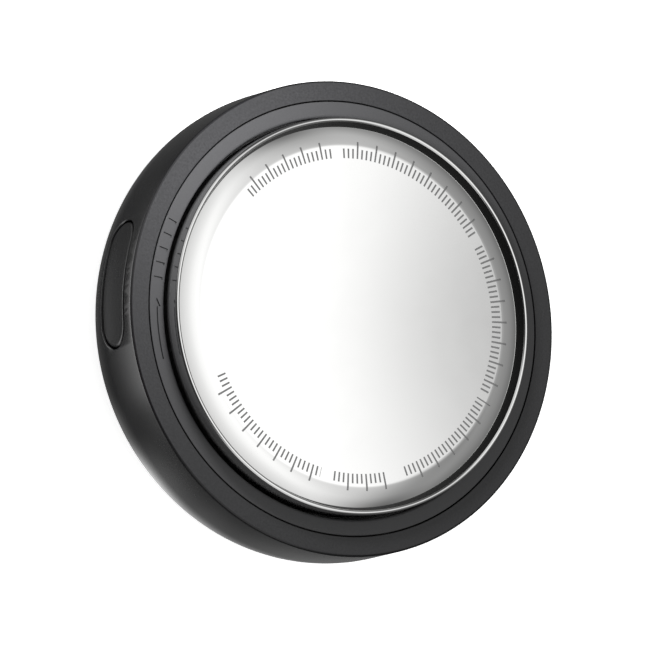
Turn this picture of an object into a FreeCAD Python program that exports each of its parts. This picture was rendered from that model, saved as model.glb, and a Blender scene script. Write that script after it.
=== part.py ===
import FreeCAD, Part
import math
import os
import Sketcher

# Round bluetooth tracker tag: a domed plastic front shell, a battery-bay frame set into its open
# back, a twist-off steel battery cover, a side button, and the board, cell and sounder inside.
# Millimetres. Z runs from the flat front face (z = 0, on which the tag rests) to the steel cover.
# The side button is on the -X side.

# ---------------------------------------------------------------- driving dimensions
SIZES = [
    ("tag_diameter", 32.0, "largest diameter, at the side wall"),
    ("ring_height", 9.4, "rear ring plane above the front face"),
    ("wall_curve", 5.7, "radius that turns the side wall into the front face"),
    ("rim_round", 0.2, "edge round between side wall and rear rim"),
    ("front_wall", 1.1, "thickness of the front face"),
    ("inner_curve", 4.2, "radius inside the shell, front wall to side wall"),
    ("seam_radius", 14.67, "bore of the shell's open end"),
    ("seam_gap", 0.08, "gap between shell and frame at the seam"),
    ("seat_radius", 14.35, "bore below the shoulder that carries the frame"),
    ("seat_height", 6.6, "shoulder above the front face"),
    ("bore_radius", 13.5, "opening of the rear ring round the cover"),
    ("lip_round", 0.2, "round on the inner edge of the rear ring"),
    ("shelf_height", 8.3, "shelf under the cover's steel edge"),
    ("shelf_radius", 12.9, "inner edge of the shelf, and depth of the bayonet groove"),
    ("ledge_radius", 12.3, "inner face of the bayonet ledges"),
    ("ledge_thickness", 0.6, "bayonet ledge"),
    ("groove_floor", 6.95, "floor of the bayonet groove"),
    ("groove_web", 0.45, "thickness under the bayonet groove"),
    ("skirt_radius", 13.9, "inside of the frame's outer foot"),
    ("seal_thickness", 0.15, "adhesive ring between shell and frame"),
    ("cell_radius", 10.0, "coin cell, 20 mm across"),
    ("cell_thickness", 3.2, "coin cell"),
    ("cell_floor", 6.9, "underside of the cell's negative cap"),
    ("cell_clearance", 0.3, "cell to the wall of its well"),
    ("well_wall", 0.7, "wall of the cell well"),
    ("well_top", 9.6, "top of the cell well"),
    ("floor_top", 6.4, "floor of the cell well"),
    ("floor_thickness", 0.8, "floor of the cell well"),
    ("cover_radius", 13.35, "steel cover, outside"),
    ("cover_rise", 1.4, "crest of the cover above the rear ring"),
    ("cover_sheet", 0.3, "steel sheet"),
    ("cover_edge", 8.5, "lower edge of the cover's wall"),
    ("crest_round", 0.16, "rounding of the cover's raised rim"),
    ("crease_radius", 12.92, "foot of the raised rim, inside"),
    ("crease_drop", 0.45, "crest to the foot of the raised rim"),
    ("face_radius", 11.46, "flat middle of the cover"),
    ("face_drop", 0.1, "crest to the flat middle"),
    ("band_curve", 5.0, "curve of the sloping band round the flat middle"),
    ("lug_ring_inner", 11.25, "moulded ring inside the cover"),
    ("lug_ring_outer", 12.1, "skirt of the moulded ring"),
    ("lug_radius", 12.75, "tips of the bayonet lugs"),
    ("lug_floor", 7.05, "underside of the lugs"),
    ("lug_thickness", 0.55, "lug"),
    ("lug_angle", 18.0, "lug, degrees of arc"),
    ("lug_start", 100.0, "first lug, degrees from +X"),
    ("twist_angle", 30.0, "cover, closed to free"),
    ("lug_slack", 1.5, "degrees of play each side of a lug"),
    ("button_length", 8.5, "side button, along the wall"),
    ("button_width", 3.0, "side button, along Z"),
    ("button_drop", 2.7, "button centre below the rear ring"),
    ("button_gap", 0.1, "gap round the button"),
    ("flange_border", 0.35, "flange beyond the button all round"),
    ("flange_thickness", 0.22, "flange behind the wall"),
    ("press_travel", 0.25, "button travel"),
    ("flange_gap", 0.05, "flange to the wall it stops on"),
    ("room_half_angle", 24.5, "degrees each side of the button"),
    ("board_radius", 13.0, "circuit board"),
    ("board_thickness", 0.8, "circuit board"),
    ("board_height", 4.0, "underside of the board"),
    ("screw_circle", 8.6, "radius on which the three screws stand"),
    ("screw_radius", 0.6, "screw shank"),
    ("screw_head", 1.1, "screw head radius"),
    ("boss_radius", 1.4, "screw boss"),
    ("contact_sheet", 0.15, "spring sheet of the contacts"),
    ("switch_depth", 1.9, "side switch, along X"),
    ("switch_width", 3.6, "side switch, along Y"),
    ("switch_height", 1.4, "side switch, along Z"),
    ("sounder_radius", 9.0, "brass disc of the sounder"),
    ("ceramic_radius", 6.5, "ceramic disc of the sounder"),
    ("sounder_sheet", 0.15, "each sounder disc"),
    ("mark_depth", 0.1, "debossed marks on the rear ring"),
]

# Angles that set where things stand round the axis, in degrees from +X.
BUTTON_ANGLE = 180.0
LUG_TURNS = (0, 120, 240)
SCREW_ANGLES = (90.0, 215.0, 303.0)
CONTACT_ANGLES = (("east", -25.0), ("west", 35.0))
ARROW_HEAD = 186.0
ARROW_SWEEP = 14.9
BAR_COUNT = 5
BAR_START = 161.9
BAR_STEP = 4.1
BAR_SWEEP = 0.7

doc = FreeCAD.newDocument("tracker_tag")
sheet = doc.addObject("Spreadsheet::Sheet", "Sizes")
for row, (alias, number, note) in enumerate(SIZES, 1):
    sheet.set(f"A{row}", alias)
    sheet.set(f"B{row}", str(number))
    sheet.setAlias(f"B{row}", alias)
    sheet.set(f"C{row}", note)
doc.recompute()


# ---------------------------------------------------------------- sizes that know their cell
class Size:
    """A length or angle with its number now and the sheet expression that drives it."""

    def __init__(self, number, text):
        self.number = float(number)
        self.text = text

    def __add__(self, other):
        other = as_size(other)
        return Size(self.number + other.number, f"({self.text} + {other.text})")

    def __sub__(self, other):
        other = as_size(other)
        return Size(self.number - other.number, f"({self.text} - {other.text})")

    def __mul__(self, factor):
        return Size(self.number * factor, f"({self.text} * {factor!r})")

    def __neg__(self):
        return self * -1.0


def as_size(value):
    return value if isinstance(value, Size) else Size(value, repr(float(value)))


CELL = {alias: Size(number, f"Sizes.{alias}") for alias, number, note in SIZES}
ZERO = as_size(0.0)

tag_radius = CELL["tag_diameter"] * 0.5
ring_height = CELL["ring_height"]
button_centre = ring_height - CELL["button_drop"]
cell_top = CELL["cell_floor"] + CELL["cell_thickness"]
crest_height = ring_height + CELL["cover_rise"]
face_height = crest_height - CELL["face_drop"]
frame_radius = CELL["seam_radius"] - CELL["seam_gap"]
well_radius = CELL["cell_radius"] + CELL["cell_clearance"]
well_outer = well_radius + CELL["well_wall"]
board_top = CELL["board_height"] + CELL["board_thickness"]
frame_floor_under = CELL["floor_top"] - CELL["floor_thickness"]
ledge_under = CELL["shelf_height"] - CELL["ledge_thickness"]
flange_back = CELL["seat_radius"] - CELL["flange_gap"] - CELL["flange_thickness"]
room_radius = flange_back - CELL["press_travel"] - 0.05
BIG = as_size(20.0)
BAR_INNER, BAR_OUTER = as_size(13.76), as_size(14.4)
ARROW_SHAFT = (as_size(14.0), as_size(14.13))
ARROW_BARBS = (13.79, 14.34)
ARROW_TIP_LEAD = 1.9
ARROW_BARB_LAG = 0.4
SCREW_TIP = as_size(6.1)
STRIP_FOOT = 1.4
SWITCH_FRONT = as_size(-13.0)
PLUNGER_HEIGHT = as_size(5.55)
PLUNGER_TIP = SWITCH_FRONT - 0.5
KEY_LOW, KEY_HIGH = as_size(3.0), as_size(9.0)
KEY_RECESS = 0.05
WALL_PAD_HALF = as_size(5.6)
WALL_PAD_TOP = as_size(8.7)
GLUE_GAP_HALF = as_size(6.0)
SLOT_HALF = as_size(1.5)
COVER_BEND = 0.06
RIM_LEAN = 75.0


# ---------------------------------------------------------------- building helpers
def bind(obj, **sizes):
    """Sets each property to its number and ties it to the sheet."""
    for name, size in sizes.items():
        size = as_size(size)
        setattr(obj, name, size.number)
        obj.setExpression(name, size.text)
    return obj


def place(obj, x=ZERO, y=ZERO, z=ZERO, turn=None):
    """Moves an object to a bound position, and turns it about Z by a fixed angle in degrees."""
    if turn is not None:
        obj.Placement = FreeCAD.Placement(FreeCAD.Vector(), FreeCAD.Rotation(FreeCAD.Vector(0, 0, 1), turn))
    for axis, size in (("x", x), ("y", y), ("z", z)):
        obj.setExpression(f"Placement.Base.{axis}", as_size(size).text)
    return obj


def cylinder(name, radius, low, high, x=ZERO, y=ZERO):
    solid = doc.addObject("Part::Cylinder", name)
    bind(solid, Radius=radius, Height=as_size(high) - low)
    return place(solid, x, y, low)


def box(name, low, high, turn=None):
    """A box between two corners; a turned box keeps its corners in the turned frame."""
    solid = doc.addObject("Part::Box", name)
    spans = [as_size(b) - a for a, b in zip(low, high)]
    bind(solid, Length=spans[0], Width=spans[1], Height=spans[2])
    if turn is None:
        return place(solid, *low)
    angle = math.radians(turn)
    x, y, z = (as_size(c) for c in low)
    across = x * math.cos(angle) - y * math.sin(angle)
    along = x * math.sin(angle) + y * math.cos(angle)
    return place(solid, across, along, z, turn)


def fuse(name, solids):
    joined = doc.addObject("Part::MultiFuse", name)
    joined.Shapes = solids
    return joined


def cut(name, base, tools):
    taken = doc.addObject("Part::Cut", name)
    taken.Base = base
    taken.Tool = tools[0] if len(tools) == 1 else fuse(name + "_tools", tools)
    return taken


def common(name, first, second):
    shared = doc.addObject("Part::MultiCommon", name)
    shared.Shapes = [first, second]
    return shared


def group(name, solids):
    """Several separate solids of one kind in one node."""
    together = doc.addObject("Part::Compound", name)
    together.Links = solids
    return together


def ring(name, inner, outer, low, high):
    inside = cylinder(name + "_bore", inner, as_size(low) - 1.0, as_size(high) + 1.0)
    return cut(name, cylinder(name + "_disc", outer, low, high), [inside])


def sector(name, inner, outer, low, high, start, sweep):
    """Part of a ring, from a start angle over a sweep in degrees."""
    parts = []
    for part, radius in (("_outer", outer), ("_inner", inner)):
        solid = cylinder(name + part, radius, low, high)
        bind(solid, Angle=as_size(sweep))
        solid.Placement.Rotation = FreeCAD.Rotation(FreeCAD.Vector(0, 0, 1), start)
        parts.append(solid)
    return cut(name, parts[0], [parts[1]])


def origin_plane(body, role):
    return next(f for f in body.Origin.OriginFeatures if f.Role == role)


def arc_between(start, end, radius):
    """The short arc between two points; a negative radius turns clockwise."""
    chord = end - start
    half = chord.Length / 2
    rise = math.sqrt(radius * radius - half * half)
    across = FreeCAD.Vector(-chord.y, chord.x, 0).normalize()
    centre = (start + end) * 0.5 + across * math.copysign(rise, radius)
    circle = Part.Circle(centre, FreeCAD.Vector(0, 0, 1), abs(radius))
    first, last = (start, end) if radius > 0 else (end, start)
    return Part.ArcOfCircle(circle, circle.parameter(first), circle.parameter(last))


def outline(body, name, role, corners):
    """A closed sketch on one of the body's planes. A corner is (x, y), or (x, y, radius) where the
    side that leaves it is an arc; a negative radius turns clockwise."""
    sketch = body.newObject("Sketcher::SketchObject", name)
    sketch.AttachmentSupport = [(origin_plane(body, role), "")]
    sketch.MapMode = "FlatFace"
    points = [FreeCAD.Vector(as_size(c[0]).number, as_size(c[1]).number, 0) for c in corners]
    leaving, arriving = [], []
    for index, corner in enumerate(corners):
        start, end = points[index], points[(index + 1) % len(points)]
        if len(corner) == 3:
            radius = as_size(corner[2])
            side = sketch.addGeometry(arc_between(start, end, radius.number), False)
            ends = (1, 2) if radius.number > 0 else (2, 1)
            tie = sketch.addConstraint(Sketcher.Constraint("Radius", side, abs(radius.number)))
            sketch.setExpression(f"Constraints[{tie}]", f"abs({radius.text})")
        else:
            side = sketch.addGeometry(Part.LineSegment(start, end), False)
            ends = (1, 2)
        leaving.append((side, ends[0]))
        arriving.append((side, ends[1]))
    for index, corner in enumerate(corners):
        sketch.addConstraint(Sketcher.Constraint("Coincident", *arriving[index - 1], *leaving[index]))
        for kind, axis, size in (("DistanceX", -2, corner[0]), ("DistanceY", -1, corner[1])):
            size = as_size(size)
            if size.number == 0.0:
                sketch.addConstraint(Sketcher.Constraint("PointOnObject", *leaving[index], axis))
                continue
            tie = sketch.addConstraint(Sketcher.Constraint(kind, -1, 1, *leaving[index], size.number))
            sketch.setExpression(f"Constraints[{tie}]", size.text)
    return sketch


def turned(name, corners):
    """A body turned about Z from an outline in the XZ plane."""
    body = doc.addObject("PartDesign::Body", name)
    sketch = outline(body, name + "_profile", "XZ_Plane", corners)
    solid = body.newObject("PartDesign::Revolution", name + "_turn")
    solid.Profile = sketch
    solid.ReferenceAxis = (sketch, ["V_Axis"])
    solid.Angle = 360.0
    sketch.Visibility = False
    return body


def pill(name, length, width, height, low_x, high_x):
    """A bar along X whose section is a flat-sided pill, its long way along Y."""
    body = doc.addObject("PartDesign::Body", name)
    half, radius = as_size(length) * 0.5, as_size(width) * 0.5
    flat = half - radius
    top, bottom = as_size(height) + radius, as_size(height) - radius
    end = radius * 1.000001
    corners = [(-flat, bottom), (flat, bottom, end), (flat, top), (-flat, top, end)]
    sketch = outline(body, name + "_profile", "YZ_Plane", corners)
    bar = body.newObject("PartDesign::Pad", name + "_bar")
    bar.Profile = sketch
    bind(bar, Length=as_size(high_x) - low_x)
    sketch.Visibility = False
    return place(body, x=low_x)


def bent_strip(name, corners, half_width, turn):
    """A strip whose side view is an outline in the XZ plane, turned about Z by an angle."""
    body = doc.addObject("PartDesign::Body", name)
    sketch = outline(body, name + "_profile", "XZ_Plane", corners)
    pad = body.newObject("PartDesign::Pad", name + "_pad")
    pad.Profile = sketch
    pad.Midplane = True
    bind(pad, Length=as_size(half_width) * 2.0)
    sketch.Visibility = False
    return place(body, turn=turn)


NODES = []


def node(name, obj):
    """Names the finished object of one sub-part."""
    obj.Label = name
    NODES.append((name, obj))
    return obj


# ---------------------------------------------------------------- outer shell
def front_shell():
    """Cup with a flat front, a deep curve into the side wall, and a shoulder for the frame."""
    body = doc.addObject("PartDesign::Body", "shell_cup")
    inside = CELL["front_wall"] + CELL["inner_curve"]
    corner = CELL["seat_radius"] - CELL["inner_curve"]
    outer = [
        (ZERO, ZERO),
        (tag_radius - CELL["wall_curve"], ZERO, CELL["wall_curve"]),
        (tag_radius, CELL["wall_curve"]),
        (tag_radius, ring_height - CELL["rim_round"], CELL["rim_round"]),
        (tag_radius - CELL["rim_round"], ring_height),
        (CELL["seam_radius"], ring_height),
        (CELL["seam_radius"], CELL["seat_height"]),
        (CELL["seat_radius"], CELL["seat_height"]),
        (CELL["seat_radius"], inside, -CELL["inner_curve"]),
        (corner, CELL["front_wall"]),
        (ZERO, CELL["front_wall"]),
    ]
    sketch = outline(body, "shell_profile", "XZ_Plane", outer)
    solid = body.newObject("PartDesign::Revolution", "shell_turn")
    solid.Profile = sketch
    solid.ReferenceAxis = (sketch, ["V_Axis"])
    solid.Angle = 360.0
    # Thick pad inside the wall behind the button, so that its flange has a full face to stop on.
    pad_low = CELL["seat_height"] - 0.5
    pad_outer = CELL["seam_radius"] + 0.5
    pad_ring = ring("button_pad_ring", CELL["seat_radius"], pad_outer, pad_low, WALL_PAD_TOP)
    pad_box = box("button_pad_box", (-BIG, -WALL_PAD_HALF, ZERO), (ZERO, WALL_PAD_HALF, BIG))
    wall_pad = common("button_wall_pad", pad_ring, pad_box)
    opening = pill(
        "button_opening",
        CELL["button_length"] + CELL["button_gap"] * 2.0,
        CELL["button_width"] + CELL["button_gap"] * 2.0,
        button_centre,
        -tag_radius - 1.0,
        as_size(-12.0),
    )
    return node("front_shell", cut("shell_cut", fuse("shell_body", [body, wall_pad]), [opening]))


# ---------------------------------------------------------------- battery-bay frame
def bay_frame():
    """Rear ring, bayonet groove and cell well in one moulding."""
    trough_under = CELL["groove_floor"] - CELL["groove_web"]
    foot = CELL["seat_height"] + CELL["seal_thickness"]
    profile = turned(
        "frame_profile",
        [
            (ZERO, frame_floor_under),
            (well_outer, frame_floor_under),
            (well_outer, trough_under),
            (CELL["skirt_radius"], trough_under),
            (CELL["skirt_radius"], foot),
            (frame_radius, foot),
            (frame_radius, ring_height),
            (CELL["bore_radius"] + CELL["lip_round"], ring_height, CELL["lip_round"]),
            (CELL["bore_radius"], ring_height - CELL["lip_round"]),
            (CELL["bore_radius"], CELL["shelf_height"]),
            (CELL["ledge_radius"], CELL["shelf_height"]),
            (CELL["ledge_radius"], CELL["groove_floor"]),
            (well_outer, CELL["groove_floor"]),
            (well_outer, CELL["well_top"]),
            (well_radius, CELL["well_top"]),
            (well_radius, CELL["floor_top"]),
            (ZERO, CELL["floor_top"]),
        ],
    )
    half_lug = CELL["lug_angle"].number / 2
    slack = CELL["lug_slack"].number
    twist = CELL["twist_angle"].number
    cuts = []
    for turn in LUG_TURNS:
        start = CELL["lug_start"].number + turn - half_lug - slack
        groove_sweep = CELL["twist_angle"] + CELL["lug_angle"] + CELL["lug_slack"] * 2.0
        gate_sweep = CELL["lug_angle"] + CELL["lug_slack"] * 2.0
        cuts.append(
            sector(
                f"groove_{turn}",
                CELL["ledge_radius"] - 0.3,
                CELL["shelf_radius"],
                CELL["groove_floor"],
                ledge_under,
                start,
                groove_sweep,
            )
        )
        cuts.append(
            sector(
                f"gate_{turn}",
                CELL["ledge_radius"] - 0.3,
                CELL["shelf_radius"],
                CELL["groove_floor"],
                CELL["shelf_height"] + 0.5,
                start + twist,
                gate_sweep,
            )
        )
    # Room for the button's flange and its travel, and for the switch below the groove.
    room_start = BUTTON_ANGLE - CELL["room_half_angle"].number
    room_sweep = CELL["room_half_angle"] * 2.0
    room_top = button_centre + CELL["button_width"] * 0.5 + CELL["flange_border"] + 0.2
    room_low = trough_under - 0.5
    cuts.append(sector("button_room", room_radius, BIG, room_low, room_top, room_start, room_sweep))
    for name, angle in CONTACT_ANGLES:
        low = (CELL["cell_radius"] - 0.25, -SLOT_HALF, frame_floor_under - 0.5)
        high = (well_outer + 0.05, SLOT_HALF, CELL["well_top"] + 0.5)
        cuts.append(box(f"contact_slot_{name}", low, high, angle))
    cuts.append(cylinder("tail_hole", as_size(0.6), frame_floor_under - 0.5, CELL["floor_top"] + 0.5))
    bosses = []
    for index, angle in enumerate(SCREW_ANGLES):
        x, y = on_circle(CELL["screw_circle"], angle)
        boss_top = frame_floor_under + 0.2
        bosses.append(cylinder(f"boss_{index}", CELL["boss_radius"], board_top, boss_top, x, y))
        cuts.append(cylinder(f"boss_bore_{index}", CELL["screw_radius"], board_top - 0.5, SCREW_TIP, x, y))
    cuts += rear_ring_marks()
    return node("bay_frame", cut("frame_cut", fuse("frame_body", [profile] + bosses), cuts))


def on_circle(radius, angle):
    return radius * math.cos(math.radians(angle)), radius * math.sin(math.radians(angle))


def rear_ring_marks():
    """Debossed twist arrow, and five plain bars that stand where a word would."""
    low, high = ring_height - CELL["mark_depth"], ring_height + 0.5
    shaft = sector("arrow_shaft", *ARROW_SHAFT, low, high, ARROW_HEAD, as_size(ARROW_SWEEP))
    marks = [shaft]
    for index in range(BAR_COUNT):
        angle = BAR_START + BAR_STEP * index
        marks.append(sector(f"bar_{index}", BAR_INNER, BAR_OUTER, low, high, angle, as_size(BAR_SWEEP)))
    return marks + [arrow_head(low)]


def arrow_head(low):
    """Triangle at the clockwise end of the shaft, pointing the closing way."""
    body = doc.addObject("PartDesign::Body", "arrow_head")
    barb_inner, barb_outer = ARROW_BARBS
    back = ARROW_HEAD + ARROW_BARB_LAG
    middle = (barb_inner + barb_outer) / 2
    points = [(middle, ARROW_HEAD - ARROW_TIP_LEAD), (barb_outer, back), (barb_inner, back)]
    corners = [tuple(as_size(c) for c in on_circle(radius, angle)) for radius, angle in points]
    sketch = outline(body, "arrow_head_profile", "XY_Plane", corners)
    pad = body.newObject("PartDesign::Pad", "arrow_head_pad")
    pad.Profile = sketch
    bind(pad, Length=CELL["mark_depth"] + 0.5)
    return place(body, z=low)


# ---------------------------------------------------------------- battery cover
def battery_cover():
    """Pressed steel cap: flat middle, sloping band, raised rounded rim and a straight wall."""
    crest = CELL["crest_round"]
    crest_centre = CELL["cover_radius"] - crest
    crest_low = crest_height - crest
    lean = math.radians(RIM_LEAN)
    inner_touch = (crest_centre - crest * math.sin(lean), crest_low + crest * math.cos(lean))
    under_face = face_height - CELL["cover_sheet"]
    crease_height = crest_height - CELL["crease_drop"]
    wall_inner = CELL["cover_radius"] - CELL["cover_sheet"]
    body = turned(
        "battery_cover",
        [
            (ZERO, under_face),
            (CELL["face_radius"] - COVER_BEND, under_face),
            (CELL["crease_radius"] - COVER_BEND, crease_height - CELL["cover_sheet"]),
            (wall_inner, crease_height - CELL["cover_sheet"] - 0.1),
            (wall_inner, CELL["cover_edge"]),
            (CELL["cover_radius"], CELL["cover_edge"]),
            (CELL["cover_radius"], crest_low, crest),
            (crest_centre, crest_height, crest),
            inner_touch,
            (CELL["crease_radius"], crease_height, CELL["band_curve"]),
            (CELL["face_radius"], face_height),
            (ZERO, face_height),
        ],
    )
    return node("battery_cover", body)


def cover_lug_ring():
    """Moulded ring bonded inside the steel cap, with three bayonet lugs round its skirt."""
    inner, outer = CELL["lug_ring_inner"], CELL["lug_ring_outer"]
    shoulder = CELL["cover_edge"] + 0.05
    wide = CELL["cover_radius"] - CELL["cover_sheet"] - 0.02
    top = crest_height - CELL["crease_drop"] - CELL["cover_sheet"] - 0.12
    parts = [
        turned(
            "lug_ring_body",
            [
                (inner, CELL["lug_floor"]),
                (outer, CELL["lug_floor"]),
                (outer, shoulder),
                (wide, shoulder),
                (wide, top),
                (inner, top),
            ],
        )
    ]
    lug_top = CELL["lug_floor"] + CELL["lug_thickness"]
    for turn in LUG_TURNS:
        start = CELL["lug_start"].number + turn - CELL["lug_angle"].number / 2
        lug = sector(
            f"lug_{turn}",
            outer - 0.2,
            CELL["lug_radius"],
            CELL["lug_floor"],
            lug_top,
            start,
            CELL["lug_angle"],
        )
        parts.append(lug)
    return node("cover_lug_ring", fuse("lug_ring", parts))


def cover_trim():
    """Foam disc that presses the cell, and the washer that the cover's edge closes on."""
    node("cover_pad", cylinder("pad_disc", as_size(8.0), cell_top + 0.05, face_height - CELL["cover_sheet"]))
    seal_top = CELL["shelf_height"] + 0.12
    node("cover_seal", ring("seal_ring", as_size(12.98), as_size(13.4), CELL["shelf_height"], seal_top))
    glue_inner, glue_outer = CELL["seat_radius"] + 0.03, frame_radius - 0.03
    glue_top = CELL["seat_height"] + CELL["seal_thickness"]
    glue = ring("glue_ring", glue_inner, glue_outer, CELL["seat_height"], glue_top)
    gap = box("glue_gap", (-BIG, -GLUE_GAP_HALF, ZERO), (ZERO, GLUE_GAP_HALF, BIG))
    node("case_seal", cut("glue_open_ring", glue, [gap]))


# ---------------------------------------------------------------- coin cell
def coin_cell():
    """Steel can over the top and side, steel cap below, plastic grommet between, active core."""
    radius, low = CELL["cell_radius"], CELL["cell_floor"]
    wall, cap_radius = as_size(0.25), radius - 1.2
    edge = as_size(0.35)
    can = turned(
        "cell_can",
        [
            (ZERO, cell_top - wall),
            (radius - wall, cell_top - wall),
            (radius - wall, low + 0.3),
            (radius, low + 0.3),
            (radius, cell_top - edge, edge),
            (radius - edge, cell_top),
            (ZERO, cell_top),
        ],
    )
    node("cell_can", can)
    gasket = turned(
        "cell_gasket",
        [
            (cap_radius, low + 0.15),
            (radius - wall, low + 0.15),
            (radius - wall, cell_top - wall - 0.05),
            (cap_radius, cell_top - wall - 0.05),
        ],
    )
    node("cell_gasket", gasket)
    cap_wall_top = cell_top - 0.9
    cap = turned(
        "cell_cap",
        [
            (ZERO, low),
            (cap_radius - 0.5, low),
            (cap_radius, low + 0.5),
            (cap_radius, cap_wall_top),
            (cap_radius - wall, cap_wall_top),
            (cap_radius - wall, low + 0.5 + 0.1),
            (cap_radius - 0.6, low + wall),
            (ZERO, low + wall),
        ],
    )
    node("cell_cap", cap)
    node("cell_core", cylinder("core_disc", cap_radius - wall - 0.2, low + 0.65, cell_top - wall - 0.05))


# ---------------------------------------------------------------- contacts
def negative_contact():
    """Three sprung fingers on a base disc, with a tail through the floor to the board."""
    sheet_size = CELL["contact_sheet"]
    base = cylinder("spider_base", as_size(2.4), CELL["floor_top"], CELL["floor_top"] + sheet_size)
    tail = cylinder("spider_tail", as_size(0.35), board_top, CELL["floor_top"] + sheet_size * 0.5)
    parts = [base, tail]
    tip = CELL["cell_floor"]
    for turn in LUG_TURNS:
        corners = [
            (as_size(1.8), CELL["floor_top"]),
            (as_size(2.6), CELL["floor_top"]),
            (as_size(6.2), tip - sheet_size),
            (as_size(6.6), tip - sheet_size * 1.6),
            (as_size(6.75), tip - sheet_size * 0.8),
            (as_size(6.2), tip),
            (as_size(2.4), CELL["floor_top"] + sheet_size),
            (as_size(1.8), CELL["floor_top"] + sheet_size),
        ]
        parts.append(bent_strip(f"spider_finger_{turn}", corners, as_size(0.7), turn))
    return node("negative_contact", fuse("spider", parts))


def positive_contacts():
    """Two sprung strips that stand on the board and press the side of the cell."""
    sheet_size = CELL["contact_sheet"]
    touch = CELL["cell_radius"]
    outer = well_outer - 0.1
    strips = [contact_strip(name, angle, outer, touch, sheet_size) for name, angle in CONTACT_ANGLES]
    return node("positive_contacts", group("strips", strips))


def contact_strip(name, angle, outer, touch, sheet_size):
    """Foot on the board, a riser, and a hairpin whose knee rests on the cell."""
    knee, top, foot = as_size(8.3), as_size(9.2), board_top + sheet_size
    corners = [
        (outer - STRIP_FOOT, board_top),
        (outer, board_top),
        (outer, top),
        (outer - sheet_size * 2.0, top),
        (touch, knee),
        (touch + 0.25, as_size(7.4)),
        (touch + 0.4, as_size(7.4)),
        (touch + sheet_size, knee),
        (outer - sheet_size, top - sheet_size * 1.5),
        (outer - sheet_size, foot),
        (outer - STRIP_FOOT, foot),
    ]
    return bent_strip(f"strip_{name}", corners, as_size(1.2), angle)


# ---------------------------------------------------------------- circuit board
def circuit_board():
    holes = []
    for index, angle in enumerate(SCREW_ANGLES):
        x, y = on_circle(CELL["screw_circle"], angle)
        holes.append(cylinder(f"board_hole_{index}", CELL["screw_radius"] + 0.1, ZERO, BIG, x, y))
    disc = cylinder("board_disc", CELL["board_radius"], CELL["board_height"], board_top)
    return node("circuit_board", cut("board", disc, holes))


def board_screws():
    """Three pan-head screws from under the board into the frame's bosses."""
    screws = []
    head_low = CELL["board_height"] - 0.5
    for index, angle in enumerate(SCREW_ANGLES):
        x, y = on_circle(CELL["screw_circle"], angle)
        head = cylinder(f"screw_head_{index}", CELL["screw_head"], head_low, CELL["board_height"], x, y)
        shank = cylinder(f"screw_shank_{index}", CELL["screw_radius"], head_low + 0.2, SCREW_TIP, x, y)
        slot_low = (x - 0.13, y - 0.7, head_low - 0.1)
        slot_high = (x + 0.13, y + 0.7, head_low + 0.2)
        slots = [box(f"screw_slot_{index}", slot_low, slot_high)]
        slot_low = (x - 0.7, y - 0.13, head_low - 0.1)
        slot_high = (x + 0.7, y + 0.13, head_low + 0.2)
        slots.append(box(f"screw_cross_{index}", slot_low, slot_high))
        screws.append(cut(f"screw_{index}", fuse(f"screw_body_{index}", [head, shank]), slots))
    return node("board_screws", group("screws", screws))


def chip(name, x, y, length, width, height, above=False):
    """A packaged component on the board, by its centre."""
    low = board_top if above else CELL["board_height"] - height
    corner = (as_size(x - length / 2), as_size(y - width / 2), low)
    far = (as_size(x + length / 2), as_size(y + width / 2), low + height)
    return box(name, corner, far)


# Main components under the board: node, centre x and y, length, width, height.
CHIPS = [
    ("radio_chip", 1.0, -4.2, 5.0, 5.0, 0.85),
    ("motion_sensor", -4.6, -7.2, 2.0, 2.0, 0.9),
    ("sounder_driver", -3.6, 5.2, 2.5, 2.5, 0.75),
    ("radio_crystal", 5.9, -4.9, 2.0, 1.6, 0.5),
    ("sleep_crystal", 5.4, -2.6, 3.2, 1.5, 0.7),
    ("chip_antenna", 10.6, 3.2, 1.6, 5.2, 1.1),
]
# Small parts in two families, each one node: centre x and y, length, width, height.
CAPACITORS = [
    (-2.6, -2.2, 1.0, 0.5, 0.5),
    (-2.6, -3.4, 1.0, 0.5, 0.5),
    (-2.6, -4.6, 1.0, 0.5, 0.5),
    (-0.8, -8.4, 0.5, 1.0, 0.5),
    (0.6, -8.4, 0.5, 1.0, 0.5),
    (2.0, -8.4, 0.5, 1.0, 0.5),
    (-6.9, 4.6, 1.6, 0.8, 0.8),
    (-6.9, 6.2, 1.6, 0.8, 0.8),
    (6.2, 6.6, 3.2, 1.6, 1.2),
]
COILS = [
    (7.7, 0.2, 1.0, 0.5, 0.5),
    (8.3, 1.4, 1.0, 0.5, 0.5),
    (8.3, 2.6, 1.0, 0.5, 0.5),
    (-0.4, 5.7, 2.0, 2.0, 1.0),
]


def board_components():
    for name, *sizes in CHIPS:
        node(name, chip(name, *sizes))
    for name, family in (("capacitors", CAPACITORS), ("coils", COILS)):
        parts = [chip(f"{name}_{i}", *sizes) for i, sizes in enumerate(family)]
        node(name, group(f"{name}_group", parts))


# ---------------------------------------------------------------- side switch and button
def side_switch():
    """Edge switch on top of the board; its plunger slides along X."""
    back = SWITCH_FRONT + CELL["switch_depth"]
    half = CELL["switch_width"] * 0.5
    top = board_top + CELL["switch_height"]
    case = box("switch_case", (SWITCH_FRONT, -half, board_top), (back, half, top))
    room_low = (SWITCH_FRONT - 0.5, as_size(-0.75), PLUNGER_HEIGHT - 0.4)
    room_high = (SWITCH_FRONT + 1.1, as_size(0.75), PLUNGER_HEIGHT + 0.4)
    node("switch_body", cut("switch_shell", case, [box("plunger_room", room_low, room_high)]))
    low = (PLUNGER_TIP, as_size(-0.7), PLUNGER_HEIGHT - 0.35)
    high = (SWITCH_FRONT + 0.7, as_size(0.7), PLUNGER_HEIGHT + 0.35)
    node("switch_plunger", box("plunger_bar", low, high))


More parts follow.
